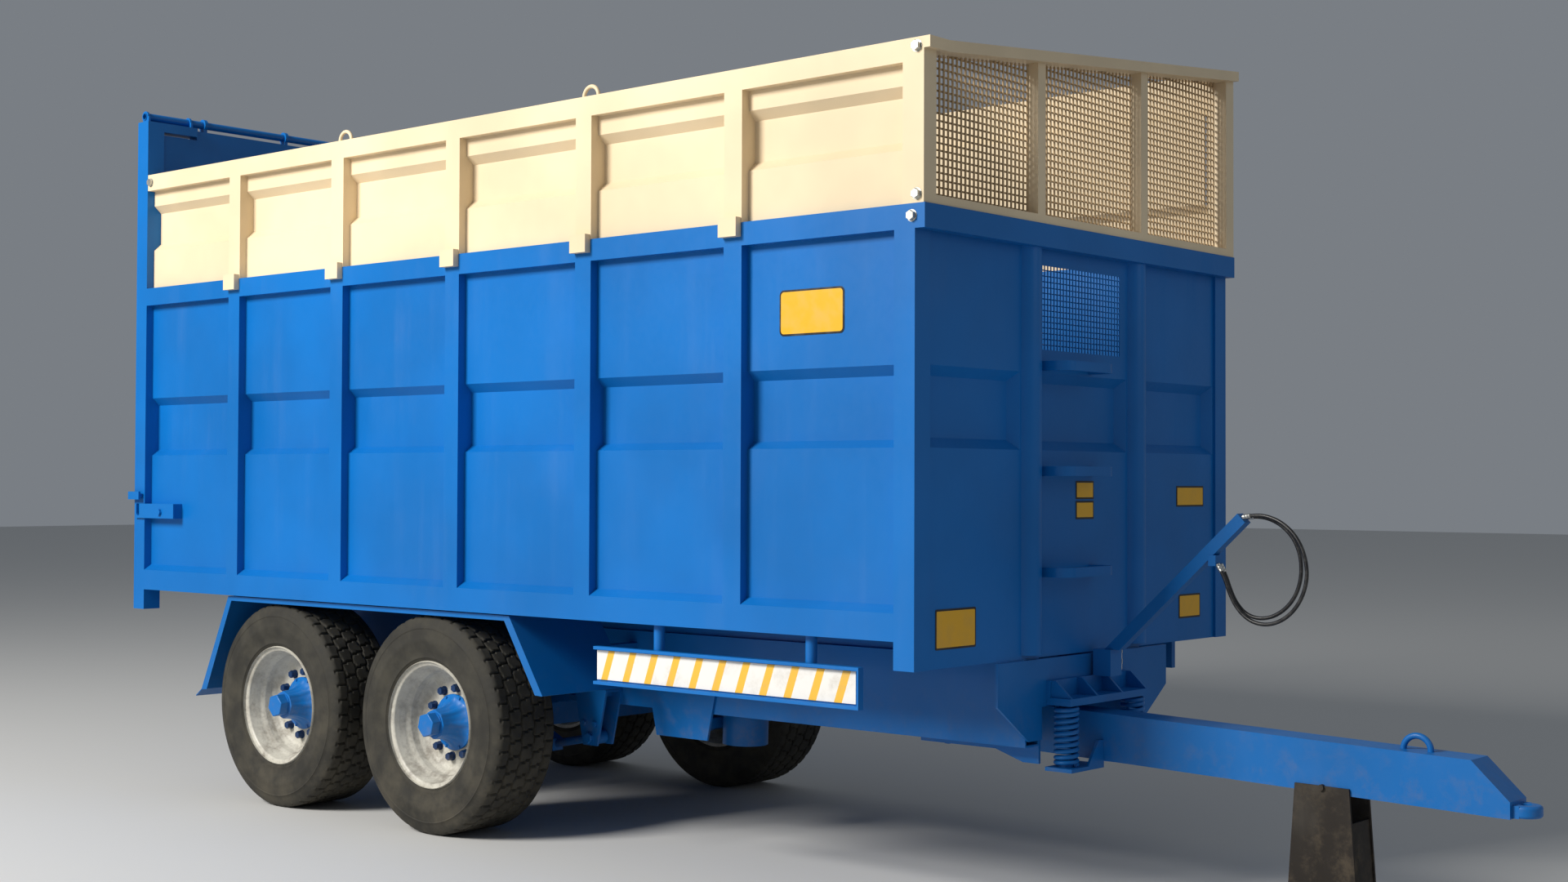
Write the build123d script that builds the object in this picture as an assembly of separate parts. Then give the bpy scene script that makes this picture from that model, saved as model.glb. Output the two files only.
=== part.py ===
"""Tandem-axle tipping trailer with a high-sided body, silage sides and a sprung drawbar.

Millimetres.  +X points to the tow eye, +Y to the trailer's left, +Z up.
The origin lies on the ground under the middle of the overall length and width.
Lengthwise places are given from the body's front face with fore(), and heights
from the foot of the body's corner posts with up().
"""
from build123d import *
import math
import os

os.makedirs("parts", exist_ok=True)

# ---------------------------------------------------------------- driving sizes
BODY_LENGTH = 5486.0
HANDLE_REACH = 114.0         # gate handles behind the rear face
BODY_WIDTH = 2440.0
POST_FOOT_HEIGHT = 972.0     # ground to the foot of the corner posts
EYE_REACH = 1930.0           # body front face to the tip of the tow eye
SHEET = 4.0                  # body sheet thickness
POST_WIDTH = 100.0           # posts, measured along the wall
WALL_PLATE = 5.0             # wall of the pressed posts and rails
POST_PITCH = 897.0           # first to next side post
FIRST_POST_BACK = 893.0      # front face to the front edge of the first side post
SIDE_POST_COUNT = 5

SILL_BOTTOM = 110.0          # heights above the post foot
SILL_TOP = 219.0
SILL_CHAMFER_TOP = 249.0
FLOOR_TOP = 220.0
FLOOR_PLATE = 5.0
TOP_RAIL_BOTTOM = 1695.0
TOP_RAIL_TOP = 1791.0
FRONT_RAIL_PROUD = 47.0
SILAGE_RIGHT_TOP = 2427.0
SILAGE_LEFT_TOP = 2671.0
SILAGE_RAIL_DEPTH = 89.0
REAR_POST_TOP = 2734.0

SHEET_RECESS = 43.0          # post face to the sheet
BAND_RECESS = 84.0           # post face to the pressed-in band
BAND_TOP = 1178.0
BAND_TOP_INNER = 1138.0
BAND_LOW_INNER = 888.0
BAND_LOW = 857.0
SILAGE_BAND_TOP_INNER = 2218.0
SILAGE_BAND_TOP = 2256.0
SILAGE_BAND_LOW_INNER = 2045.0
SILAGE_BAND_LOW = 2007.0

WHEEL_RADIUS = 525.0
TYRE_WIDTH = 385.0
TYRE_OUTER_Y = 1200.0        # outer sidewall from the middle plane
RIM_RADIUS = 286.0           # bead seat
RIM_FLANGE = 302.0
HUB_BORE = 42.0
AXLE_SPACING = 1225.0
TANDEM_BACK = 3552.5         # body front face to the middle of the two axles
MUDGUARD_TANDEM_BACK = 3552.5  # where the mudguard folds below are counted from
STUB_FIT = 0.05              # radial clearance of the stub axle in the hub
AXLE_BEAM = 120.0

RAIL_OUTER_Y = 450.0
RAIL_WIDTH = 100.0
RAIL_TOP = -1.0
RAIL_DEPTH = 364.0
RAIL_WALL = 8.0

TIP_HINGE_AHEAD = 186.0      # ahead of the rear face
TIP_HINGE_UP = 47.0
TIP_PIN_RADIUS = 25.0

RAM_BACK = 1950.0            # trunnion, from the body front face
RAM_TRUNNION_UP = -200.0
RAM_BARREL_RADIUS = 112.0
RAM_BARREL_LENGTH = 565.0
RAM_BARREL_TOP = 215.0       # above the trunnions
RAM_STAGE_STEP = 16.0        # each stage is this much slimmer in radius
RAM_STAGES = 5
TIP_ANGLE = 40.0

DRAWBAR_PIVOT_BACK = 500.0
DRAWBAR_PIVOT_UP = -345.0
DRAWBAR_DEPTH = 198.0
DRAWBAR_WIDTH = 160.0
DRAWBAR_WALL = 10.0
DRAWBAR_TOP_REAR = -238.0    # top edge height at the body front face
DRAWBAR_FALL = 0.031         # fall per unit of length towards the eye
DRAWBAR_PIN_RADIUS = 30.0
EYE_OUTER = 62.0
EYE_BORE = 25.0
EYE_THICK = 46.0
EYE_UP = -467.0
SPRING_X = 66.0              # coil spring axis ahead of the body front face
SPRING_Y = 262.0
SPRING_RADIUS = 44.0         # coil mean radius
SPRING_WIRE = 8.0
SHELF_TOP = -168.0
SHELF_THICK = 30.0
SHELF_HALF = 312.0
SEAT_TOP = -452.0
STAND_AHEAD = 1115.0
STAND_PIVOT_UP = -450.0
STAND_PIN_RADIUS = 12.0

GATE_HINGE_AHEAD = 46.0      # ahead of the rear face
GATE_HINGE_UP = 2766.0
GATE_PIPE_RADIUS = 21.0
GATE_THICK = 80.0
GATE_GAP = 4.0
GATE_SWEEP = 16.0            # gate shoulder under the hinge carriers, room to swing
LIGHT_BAR_HALF = 600.0       # half the length of the rear light bar
CATCH_UP = 633.0             # pins on the gate that the side hooks take
CATCH_AHEAD = 76.0           # pin ahead of the rear face
CATCH_RADIUS = 11.0
HOOK_AHEAD = 281.0           # ahead of the rear face
HOOK_UP = 542.0
HOOK_PIN_RADIUS = 10.0

HANGER_REACH = 470.0         # axle to the hanger eye, along the trailer
HANGER_EYE_UP = -526.0
HANGER_PLATE = 12.0
HANGER_GAP = 88.0
HANGER_PIN = 16.0
EQUALISER_UP = -372.0
EQUALISER_ARM = 140.0
SPRING_LEAF_WIDTH = 70.0
LEAVES = 4
LEAF_THICK = 13.0
LEAF_REACH = 490.0           # axle to the end of the main leaf
SPRING_SEAT_UP = -330.0      # top of the main leaves, which the slippers bear on

TRUNNION_RADIUS = 30.0
BALL_RADIUS = 35.0
HOSE_Y = 65.0
HOSE_RADIUS = 8.0

RUN_FIT = 0.08               # radial clearance of a pin in its bore
FREE = 3.0                   # plain gap between pieces that move past each other

# ---------------------------------------------------------------- derived places
OVERALL_LENGTH = BODY_LENGTH + HANDLE_REACH + EYE_REACH
FRONT_X = OVERALL_LENGTH / 2 - EYE_REACH
HALF_WIDTH = BODY_WIDTH / 2
TIP_HINGE_BACK = BODY_LENGTH - TIP_HINGE_AHEAD
GATE_HINGE_BACK = BODY_LENGTH - GATE_HINGE_AHEAD
HOOK_BACK = BODY_LENGTH - HOOK_AHEAD
STUB_RADIUS = HUB_BORE - STUB_FIT
SHEET_Y = HALF_WIDTH - SHEET_RECESS
BAND_Y = HALF_WIDTH - BAND_RECESS
FRONT_AXLE_BACK = TANDEM_BACK - AXLE_SPACING / 2
REAR_AXLE_BACK = TANDEM_BACK + AXLE_SPACING / 2
WHEEL_Y = TYRE_OUTER_Y - TYRE_WIDTH / 2
SIDES = {"right": -1, "left": 1}
HANGER_FRONT_BACK = FRONT_AXLE_BACK - HANGER_REACH
HANGER_REAR_BACK = REAR_AXLE_BACK + HANGER_REACH
AXLE_UP = WHEEL_RADIUS - POST_FOOT_HEIGHT
SPRING_Y_LEAF = RAIL_OUTER_Y + HANGER_PLATE + HANGER_GAP / 2
AXLE_BACKS = {"front": FRONT_AXLE_BACK, "rear": REAR_AXLE_BACK}


def fore(distance):
    """X of a place this far ahead of the body's front face."""
    return FRONT_X + distance


def up(height):
    """Z of a height above the foot of the corner posts."""
    return POST_FOOT_HEIGHT + height


def block(x0, x1, y0, y1, z0, z1):
    """A plain block between two corners."""
    size = (abs(x1 - x0), abs(y1 - y0), abs(z1 - z0))
    return Pos((x0 + x1) / 2, (y0 + y1) / 2, (z0 + z1) / 2) * Box(*size)


def rod(x, y, z, radius, length, axis):
    """A round bar centred on a point, lying along X, Y or Z."""
    turn = {"X": Rot(0, 90, 0), "Y": Rot(90, 0, 0), "Z": Rot(0, 0, 0)}[axis]
    return Pos(x, y, z) * turn * Cylinder(radius, length)


def slab_xz(points, y0, y1):
    """A plate: an outline of (x, z) points, extruded from y0 to y1."""
    face = make_face(Polyline([(x, y0, z) for x, z in points], close=True))
    return extrude(face, amount=y1 - y0, dir=(0, 1, 0))


def slab_yz(points, x0, x1):
    """A plate: an outline of (y, z) points, extruded from x0 to x1."""
    face = make_face(Polyline([(x0, y, z) for y, z in points], close=True))
    return extrude(face, amount=x1 - x0, dir=(1, 0, 0))


def slab_xy(points, z0, z1):
    """A plate: an outline of (x, y) points, extruded from z0 to z1."""
    face = make_face(Polyline([(x, y, z0) for x, y in points], close=True))
    return extrude(face, amount=z1 - z0, dir=(0, 0, 1))


def tube_box(x0, x1, y0, y1, z0, z1, wall, along="X"):
    """A rectangular hollow section, open at both ends along one axis."""
    outer = block(x0, x1, y0, y1, z0, z1)
    grow = {axis: (0 if axis == along else -wall) for axis in "XYZ"}
    inner = block(
        x0 - grow["X"] - (1 if along == "X" else 0), x1 + grow["X"] + (1 if along == "X" else 0),
        y0 - grow["Y"] - (1 if along == "Y" else 0), y1 + grow["Y"] + (1 if along == "Y" else 0),
        z0 - grow["Z"] - (1 if along == "Z" else 0), z1 + grow["Z"] + (1 if along == "Z" else 0))
    return outer - inner


def both_sides(shape):
    """The piece and its twin on the trailer's other side."""
    return [shape, mirror(shape, about=Plane.XZ)]


def save(name, pieces):
    """Write one node; a list becomes separate solids in the same file."""
    shape = Compound(children=list(pieces)) if isinstance(pieces, (list, tuple)) else pieces
    export_step(shape, f"parts/{name}.step")


# ---------------------------------------------------------------- chassis
def chassis():
    """Main rails, cross members, headstock, hangers, ram cradle and tip hinge."""
    rail_end = fore(-TIP_HINGE_BACK - 60)
    rail = tube_box(rail_end, fore(-12), RAIL_OUTER_Y - RAIL_WIDTH, RAIL_OUTER_Y,
                    up(RAIL_TOP - RAIL_DEPTH), up(RAIL_TOP), RAIL_WALL)
    save("chassis_rails", both_sides(rail))

    inner_y = RAIL_OUTER_Y - RAIL_WIDTH
    backs = (900.0, 1420.0, 2500.0, TANDEM_BACK, REAR_AXLE_BACK + 480, TIP_HINGE_BACK)
    members = [tube_box(fore(-b - 40), fore(-b + 40), -inner_y, inner_y, up(-170), up(-50), 6, "Y")
               for b in backs]
    save("chassis_cross_members", members)

    outline = [(-663, -6), (663, -6), (663, -182), (630.5, -205), (-630.5, -205), (-663, -182)]
    plate = slab_yz([(y, up(z)) for y, z in outline], fore(-12), fore(0))
    leg_line = [(345, up(-205)), (630.5, up(-205)), (440, up(-340)), (345, up(-340))]
    leg = slab_yz(leg_line, fore(-12), fore(0))
    back_plate = block(fore(0), fore(18), -SHELF_HALF, SHELF_HALF, up(SHELF_TOP - SHELF_THICK), up(-98))
    shelf = block(fore(18), fore(118), -SHELF_HALF, SHELF_HALF, up(SHELF_TOP - SHELF_THICK), up(SHELF_TOP))
    gusset_line = [(fore(18), up(SHELF_TOP)), (fore(116), up(SHELF_TOP)),
                   (fore(40), up(-98)), (fore(18), up(-98))]
    for y in (-302, -104, 92, 290):
        shelf += slab_xz(gusset_line, y, y + 12)
    save("headstock", [plate, shelf + back_plate, *both_sides(leg)])

    cheek_line = [(fore(-620), up(-60)), (fore(-13), up(-60)), (fore(-13), up(-440)),
                  (fore(-90), up(-440)), (fore(-230), up(-395)), (fore(-620), up(-395))]
    cheek = slab_xz(cheek_line, inner_y - 14, inner_y)
    pin = rod(fore(-DRAWBAR_PIVOT_BACK), 0, up(DRAWBAR_PIVOT_UP), DRAWBAR_PIN_RADIUS, 2 * inner_y - 4, "Y")
    save("drawbar_hinge", [pin, *both_sides(cheek - pin)])


def suspension_hangers():
    """Front, middle and rear hangers: pairs of cheeks hung from the rails."""
    low = HANGER_EYE_UP
    solids = []
    for back, height in ((HANGER_FRONT_BACK, low), (HANGER_REAR_BACK, low), (TANDEM_BACK, EQUALISER_UP)):
        wide = 112 if back != TANDEM_BACK else 110
        narrow = 48 if back != TANDEM_BACK else 55
        foot = 36 if back != TANDEM_BACK else 60
        top = -250 if back == TANDEM_BACK else -288
        line = [(fore(-back - wide), up(top)), (fore(-back + wide), up(top)),
                (fore(-back + narrow), up(height - foot)), (fore(-back - narrow), up(height - foot))]
        y0 = RAIL_OUTER_Y
        hanger = slab_xz(line, y0, y0 + HANGER_PLATE)
        hanger += slab_xz(line, y0 + HANGER_GAP + HANGER_PLATE, y0 + HANGER_GAP + 2 * HANGER_PLATE)
        hanger += block(fore(-back - wide), fore(-back + wide), y0, y0 + HANGER_GAP + 2 * HANGER_PLATE,
                        up(top - 12), up(top))
        if back != TANDEM_BACK:
            hanger += block(fore(-back - 50), fore(-back + 50), y0, y0 + HANGER_GAP + HANGER_PLATE,
                            up(SPRING_SEAT_UP + FREE), up(top))
        hanger += rod(fore(-back), y0 + HANGER_PLATE + HANGER_GAP / 2, up(height), HANGER_PIN,
                      HANGER_GAP + 2 * HANGER_PLATE, "Y")
        solids += both_sides(hanger)
    save("suspension_hangers", solids)


def ram_cradle():
    """Outer plates with a tie under the rails, and an inner frame for the trunnions."""
    x, low, high = fore(-RAM_BACK), up(-490), up(-120)
    side_line = [(x - 250, high), (x + 250, high), (x + 165, low), (x - 165, low)]
    pieces = both_sides(slab_xz(side_line, RAIL_OUTER_Y, RAIL_OUTER_Y + HANGER_PLATE))
    tie_front = x - RAM_BARREL_RADIUS - 16
    pieces.append(block(tie_front - 37, tie_front, -RAIL_OUTER_Y, RAIL_OUTER_Y, low, low + 50))
    inner_y = RAIL_OUTER_Y - RAIL_WIDTH
    pieces.append(block(x - 220, x - 170, -inner_y, inner_y, high - 80, high))
    pieces.append(block(x + 170, x + 220, -inner_y, inner_y, high - 80, high))
    y = RAM_BARREL_RADIUS + 30
    plate = block(x - 170, x + 170, y - 10, y + 10, up(RAM_TRUNNION_UP - 60), high)
    plate -= rod(x, y, up(RAM_TRUNNION_UP), TRUNNION_RADIUS + RUN_FIT, 60, "Y")
    save("ram_cradle", pieces + both_sides(plate))


def tip_hinge():
    """Ears on the rail ends with the two pins that the body turns on."""
    x, z = fore(-TIP_HINGE_BACK), up(TIP_HINGE_UP)
    hinge = rod(x, RAIL_OUTER_Y - RAIL_WIDTH / 2, z, TIP_PIN_RADIUS, RAIL_WIDTH + 24, "Y")
    for y in (RAIL_OUTER_Y - RAIL_WIDTH, RAIL_OUTER_Y - 16):
        hinge += block(x - 55, x + 55, y, y + 16, up(RAIL_TOP), z) + rod(x, y + 8, z, TIP_HINGE_UP, 16, "Y")
    save("tip_hinge_ears", both_sides(hinge))


def mudguards():
    """Folded strips over each pair of wheels, with an outer lip and two stays."""
    outer, inner = TYRE_OUTER_Y, TYRE_OUTER_Y - 550
    folds = [(-4886, -444), (-4832, -405), (-4588, 104), (-2342, 104), (-2111, -247)]
    under = [(-4884, -448), (-4829, -408), (-4585, 100), (-2345, 100), (-2116, -249)]
    lip = [None, (-4785, -405), (-4560, 80), (-2374, 80), (-2161, -247)]
    shift = MUDGUARD_TANDEM_BACK - TANDEM_BACK
    pieces = []
    for i in range(len(folds) - 1):
        line = [folds[i], folds[i + 1], under[i + 1], under[i]]
        pieces.append(slab_xz([(fore(x + shift), up(z)) for x, z in line], inner, outer))
        if lip[i]:
            line = [under[i], under[i + 1], lip[i + 1], lip[i]]
            pieces.append(slab_xz([(fore(x + shift), up(z)) for x, z in line], outer - 4, outer))
    room = slab_xz([(fore(x + shift), up(z)) for x, z in under], 0, HALF_WIDTH)
    for back in (2290.0 - shift, 4640.0 - shift):
        stay = block(fore(-back - 30), fore(-back + 30), RAIL_OUTER_Y, inner + 60, up(-110), up(-60))
        stay += block(fore(-back - 30), fore(-back + 30), inner, inner + 60, up(-60), up(20))
        pieces.append(stay & room)
    save("mudguards", [side for piece in pieces for side in both_sides(piece)])


def rear_lights():
    """Cross bar under the tail with a lamp box at each end."""
    x = fore(-TIP_HINGE_BACK - 60)
    bar = tube_box(x - 66, x - 6, -LIGHT_BAR_HALF, LIGHT_BAR_HALF, up(-430), up(-330), 4, "Y")
    hangers = [block(x - 6, x + 40, y - 50, y + 50, up(-430), up(RAIL_TOP - RAIL_DEPTH))
               for y in (-RAIL_OUTER_Y + 50, RAIL_OUTER_Y - 50)]
    lamp = block(x - 96, x - 66, LIGHT_BAR_HALF - 230, LIGHT_BAR_HALF - 20, up(-420), up(-340))
    lamp = fillet(lamp.edges().filter_by(Axis.X), 12)
    save("rear_light_bar", [bar, *hangers, *both_sides(lamp)])


def hose_arm():
    """A pedestal on the headstock, a slanting square arm and a hose guide."""
    pedestal = block(fore(18), fore(104), 20, 110, up(-98), up(8))
    foot, tip = Vector(fore(62), HOSE_Y, up(-20)), Vector(fore(705), HOSE_Y, up(582))
    direction = (tip - foot).normalized()
    plane = Plane(origin=foot, x_dir=(0, 1, 0), z_dir=direction)
    arm = extrude(plane * Rectangle(50, 50), amount=(tip - foot).length)
    pedestal_top = block(fore(18), fore(104), 20, 110, up(8), up(14))
    arm = arm - block(fore(18), fore(300), -100, 200, up(-300), up(14))
    guide = Vector(fore(575), HOSE_Y, up(398))
    lug = Pos(guide.X, guide.Y, guide.Z + 8) * Box(34, 60, 44)
    save("hose_arm", [pedestal + pedestal_top, arm + lug])


# Hose routes from the arm's end round to the guide under it: (ahead, sideways, height).
HOSE_ROUTES = {
    "hose_outer": [(707, -14, 586), (762, -15, 596), (822, -17, 590), (880, -20, 568),
                   (932, -23, 528), (970, -26, 474), (991, -28, 412), (995, -28, 346),
                   (977, -27, 280), (941, -24, 222), (889, -20, 178), (829, -17, 155),
                   (768, -15, 156), (713, -14, 182), (671, -14, 228), (643, -14, 285),
                   (622, -14, 345), (592, -14, 392)],
    "hose_inner": [(707, 14, 586), (762, 14, 590), (820, 15, 578), (872, 17, 549),
                   (914, 19, 504), (939, 21, 448), (947, 22, 386), (940, 22, 323),
                   (916, 21, 264), (875, 19, 216), (822, 17, 184), (762, 15, 174),
                   (707, 14, 190), (664, 14, 232), (636, 14, 288), (616, 14, 346),
                   (592, 14, 390)],
}


def hose_tube(points, radius):
    """A tube along straight runs joined by arcs as large as the runs allow."""
    spots = [Vector(*p) for p in points]
    radii = []
    for a, b, c in zip(spots, spots[1:], spots[2:]):
        turn = math.radians((b - a).get_angle(c - b))
        radii.append(0.45 * min((b - a).length, (c - b).length) / math.tan(turn / 2))
    path = FilletPolyline(*spots, radius=radii)
    start = Plane(origin=path @ 0, z_dir=path % 0)
    tube = sweep(start * Circle(radius), path=path)
    print("hose bend radii", [round(r) for r in radii])
    print("hose length", round(path.length), "volume / (section x length)",
          round(tube.volume / (math.pi * radius ** 2 * path.length), 4))
    return tube


def hoses():
    """Two hydraulic hoses looped from the arm's end back to its guide."""
    for name, route in HOSE_ROUTES.items():
        points = [(fore(x), HOSE_Y + y, up(z)) for x, y, z in route]
        save(name, hose_tube(points, HOSE_RADIUS))


# ---------------------------------------------------------------- body
def wall_outline(bottom, top, band, line_y):
    """Outer line of a side sheet with one pressed-in band, as (y, z) points."""
    low, low_inner, top_inner, band_top = band
    inset = line_y - (SHEET_Y - BAND_Y)
    return [(line_y, up(bottom)), (line_y, up(low)), (inset, up(low_inner)),
            (inset, up(top_inner)), (line_y, up(band_top)), (line_y, up(top))]


def folded_sheet(bottom, top, band, x0, x1):
    """A side sheet of even thickness that follows the band's outline."""
    outer = wall_outline(bottom, top, band, SHEET_Y)
    inner = wall_outline(bottom, top, band, SHEET_Y - SHEET)
    return slab_yz(outer + inner[::-1], x0, x1)


def pressed_post(bottom, top, band, x0, foot=0.0):
    """A channel post: flat outside, its flanges cut to seat on the sheet."""
    line = wall_outline(bottom + foot, top, band, SHEET_Y)
    post = slab_yz([(HALF_WIDTH, up(bottom)), *line, (HALF_WIDTH, up(top))], x0, x0 + POST_WIDTH)
    hollow = block(x0 + WALL_PLATE, x0 + POST_WIDTH - WALL_PLATE, BAND_Y - 10, HALF_WIDTH - WALL_PLATE,
                   up(bottom + foot + 6), up(top - WALL_PLATE))
    return post - hollow


def hollow_rail(bottom, top, x0, x1, chamfer_top=None):
    """A closed rail on the sheet's outer face, its top edge sloped if asked."""
    crown = top if chamfer_top is None else chamfer_top
    outer = [(HALF_WIDTH, up(bottom)), (HALF_WIDTH, up(top)), (SHEET_Y, up(crown)), (SHEET_Y, up(bottom))]
    w = WALL_PLATE
    inner = [(HALF_WIDTH - w, up(bottom + w)), (HALF_WIDTH - w, up(top - w)),
             (SHEET_Y + w, up(crown - w)), (SHEET_Y + w, up(bottom + w))]
    return slab_yz(outer, x0, x1) - slab_yz(inner, x0, x1)


BODY_BAND = (BAND_LOW, BAND_LOW_INNER, BAND_TOP_INNER, BAND_TOP)
LEFT_LIFT = SILAGE_LEFT_TOP - SILAGE_RIGHT_TOP
SILAGE_BANDS = {
    "right": (SILAGE_BAND_LOW, SILAGE_BAND_LOW_INNER, SILAGE_BAND_TOP_INNER, SILAGE_BAND_TOP),
    "left": (SILAGE_BAND_LOW, SILAGE_BAND_LOW_INNER, SILAGE_BAND_TOP_INNER + LEFT_LIFT,
             SILAGE_BAND_TOP + LEFT_LIFT),
}
SILAGE_TOPS = {"right": SILAGE_RIGHT_TOP, "left": SILAGE_LEFT_TOP}
POST_BACKS = [FIRST_POST_BACK + POST_WIDTH + i * POST_PITCH for i in range(SIDE_POST_COUNT)]
REAR_FACE = fore(-BODY_LENGTH)
CATCH_X = REAR_FACE + CATCH_AHEAD
REAR_POST_FRONT = REAR_FACE + POST_WIDTH + 3.5


def to_side(shape, side):
    """Left pieces stay where they are drawn, right ones are mirrored."""
    return mirror(shape, about=Plane.XZ) if side == "right" else shape


def body_walls():
    """Side sheets, posts and rails of the lower body."""
    x0, x1 = REAR_POST_FRONT, fore(-POST_WIDTH)
    sheet = folded_sheet(SILL_BOTTOM + 2, TOP_RAIL_TOP, BODY_BAND, x0, x1)
    save("side_sheets", both_sides(sheet))
    posts = []
    for back in POST_BACKS:
        post = pressed_post(SILL_TOP, TOP_RAIL_BOTTOM, BODY_BAND, fore(-back), SILL_CHAMFER_TOP - SILL_TOP)
        posts += both_sides(post)
    save("side_posts", posts)
    sill = hollow_rail(SILL_BOTTOM, SILL_TOP, x0, x1, SILL_CHAMFER_TOP)
    top = hollow_rail(TOP_RAIL_BOTTOM, TOP_RAIL_TOP, x0, fore(-53))
    end = HALF_WIDTH - WALL_PLATE
    front_low, front_high = up(TOP_RAIL_BOTTOM), up(TOP_RAIL_TOP)
    front = tube_box(fore(-53), fore(FRONT_RAIL_PROUD), -end, end, front_low, front_high, WALL_PLATE, "Y")
    cap = block(fore(-53), fore(FRONT_RAIL_PROUD), end, HALF_WIDTH, front_low, front_high)
    save("body_rails", both_sides(sill) + both_sides(top) + [front] + both_sides(cap))


def body_corners():
    """Front corner posts, and rear posts with their hinge carriers."""
    inner = HALF_WIDTH - POST_WIDTH
    carrier_low = up(REAR_POST_TOP - 50)
    front = tube_box(fore(-POST_WIDTH), fore(0), inner, HALF_WIDTH,
                     up(0), up(TOP_RAIL_BOTTOM), WALL_PLATE, "Z")
    rear = tube_box(REAR_FACE, REAR_POST_FRONT, inner, HALF_WIDTH, up(0), carrier_low, WALL_PLATE, "Z")
    carrier = block(REAR_FACE, REAR_POST_FRONT, HALF_WIDTH - 315, HALF_WIDTH,
                    carrier_low, up(REAR_POST_TOP))
    x, z = fore(-GATE_HINGE_BACK), up(GATE_HINGE_UP)
    for y in (HALF_WIDTH - 290, HALF_WIDTH - 20):
        ear = block(x - 20, x + 38, y - 6, y + 6, up(REAR_POST_TOP), z)
        ear += rod(x, y, z, 30, 12, "Y")
        carrier += ear
    carrier -= rod(x, HALF_WIDTH - 100, z, GATE_PIPE_RADIUS, 500, "Y")
    save("front_corner_posts", both_sides(front))
    save("rear_posts", both_sides(rear) + both_sides(carrier))
    pipe = rod(x, 0, z, GATE_PIPE_RADIUS, BODY_WIDTH - 20, "Y")
    save("gate_hinge_pipe", pipe - rod(x, 0, z, GATE_PIPE_RADIUS - 4, BODY_WIDTH, "Y"))


PAN_EDGE = HALF_WIDTH - POST_WIDTH - 8
COLUMN_EDGES = ((-PAN_EDGE, -490.0), (-340.0, 340.0), (490.0, PAN_EDGE))
FRONT_SHEET_X = -12.0
FRONT_POST_Y = 415.0
WINDOW = (-325.0, 285.0, 1277.0, 1628.0)


def pan(y0, y1, x_face):
    """A block with four sloped sides, sunk from the front sheet's face."""
    depth, slope = BAND_Y - SHEET_Y, BAND_TOP - BAND_TOP_INNER
    low, high = up(BAND_LOW), up(BAND_TOP)
    centre_y, centre_z = (y0 + y1) / 2, (low + high) / 2
    wide = Plane(origin=(fore(x_face), centre_y, centre_z), x_dir=(0, 1, 0), z_dir=(1, 0, 0))
    deep = Plane(origin=(fore(x_face + depth), centre_y, centre_z), x_dir=(0, 1, 0), z_dir=(1, 0, 0))
    mouth = wide * Rectangle(y1 - y0, high - low)
    bed = deep * Rectangle(y1 - y0 - 2 * slope, high - low - 2 * slope)
    return loft([mouth, bed])


def lattice(width, height, pitch, wire):
    """A flat welded mesh drawn as a sheet with square holes."""
    across, down = int((width - wire) // pitch), int((height - wire) // pitch)
    holes = GridLocations(pitch, pitch, across, down) * Rectangle(pitch - wire, pitch - wire)
    return Rectangle(width, height) - holes


def body_front():
    """Front sheet with three pans and a window, its half-round posts, mesh and steps."""
    inner = HALF_WIDTH - POST_WIDTH
    sheet = block(fore(FRONT_SHEET_X - SHEET), fore(FRONT_SHEET_X), -inner, inner, up(0), up(TOP_RAIL_BOTTOM))
    for y0, y1 in COLUMN_EDGES:
        sheet += pan(y0, y1, FRONT_SHEET_X - SHEET)
    for y0, y1 in COLUMN_EDGES:
        sheet -= pan(y0, y1, FRONT_SHEET_X + 0.01)
    y0, y1, z0, z1 = WINDOW
    sheet -= block(fore(-60), fore(20), y0, y1, up(z0), up(z1))
    save("front_sheet", sheet)
    posts = []
    for sign in (-1, 1):
        outer = rod(fore(-40), sign * FRONT_POST_Y, up(855), 72, 1680, "Z")
        hollow = rod(fore(-40), sign * FRONT_POST_Y, up(855), 67, 1700, "Z")
        front_half = block(fore(FRONT_SHEET_X), fore(60), sign * FRONT_POST_Y - 80, sign * FRONT_POST_Y + 80,
                           up(15), up(TOP_RAIL_BOTTOM))
        posts.append((outer - hollow) & front_half)
    save("front_posts", posts)
    mesh_plane = Plane(origin=(fore(FRONT_SHEET_X - SHEET - 5), (y0 + y1) / 2, up((z0 + z1) / 2)),
                       x_dir=(0, 1, 0), z_dir=(1, 0, 0))
    mesh = mesh_plane * lattice(y1 - y0 + 30, z1 - z0 + 30, 60, 8)
    save("window_mesh", extrude(mesh, amount=5))
    rungs = []
    for z in (1208, 771, 352):
        tread = fillet(block(fore(FRONT_SHEET_X), fore(118), -340, 61, up(z - 20), up(z + 20))
                       .edges().filter_by(Axis.Z).group_by(Axis.X)[-1], 70)
        well = fillet(block(fore(FRONT_SHEET_X - 1), fore(88), -310, 31, up(z - 30), up(z + 30))
                      .edges().filter_by(Axis.Z).group_by(Axis.X)[-1], 45)
        rungs.append(tread - well)
    save("step_rungs", rungs)


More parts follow.
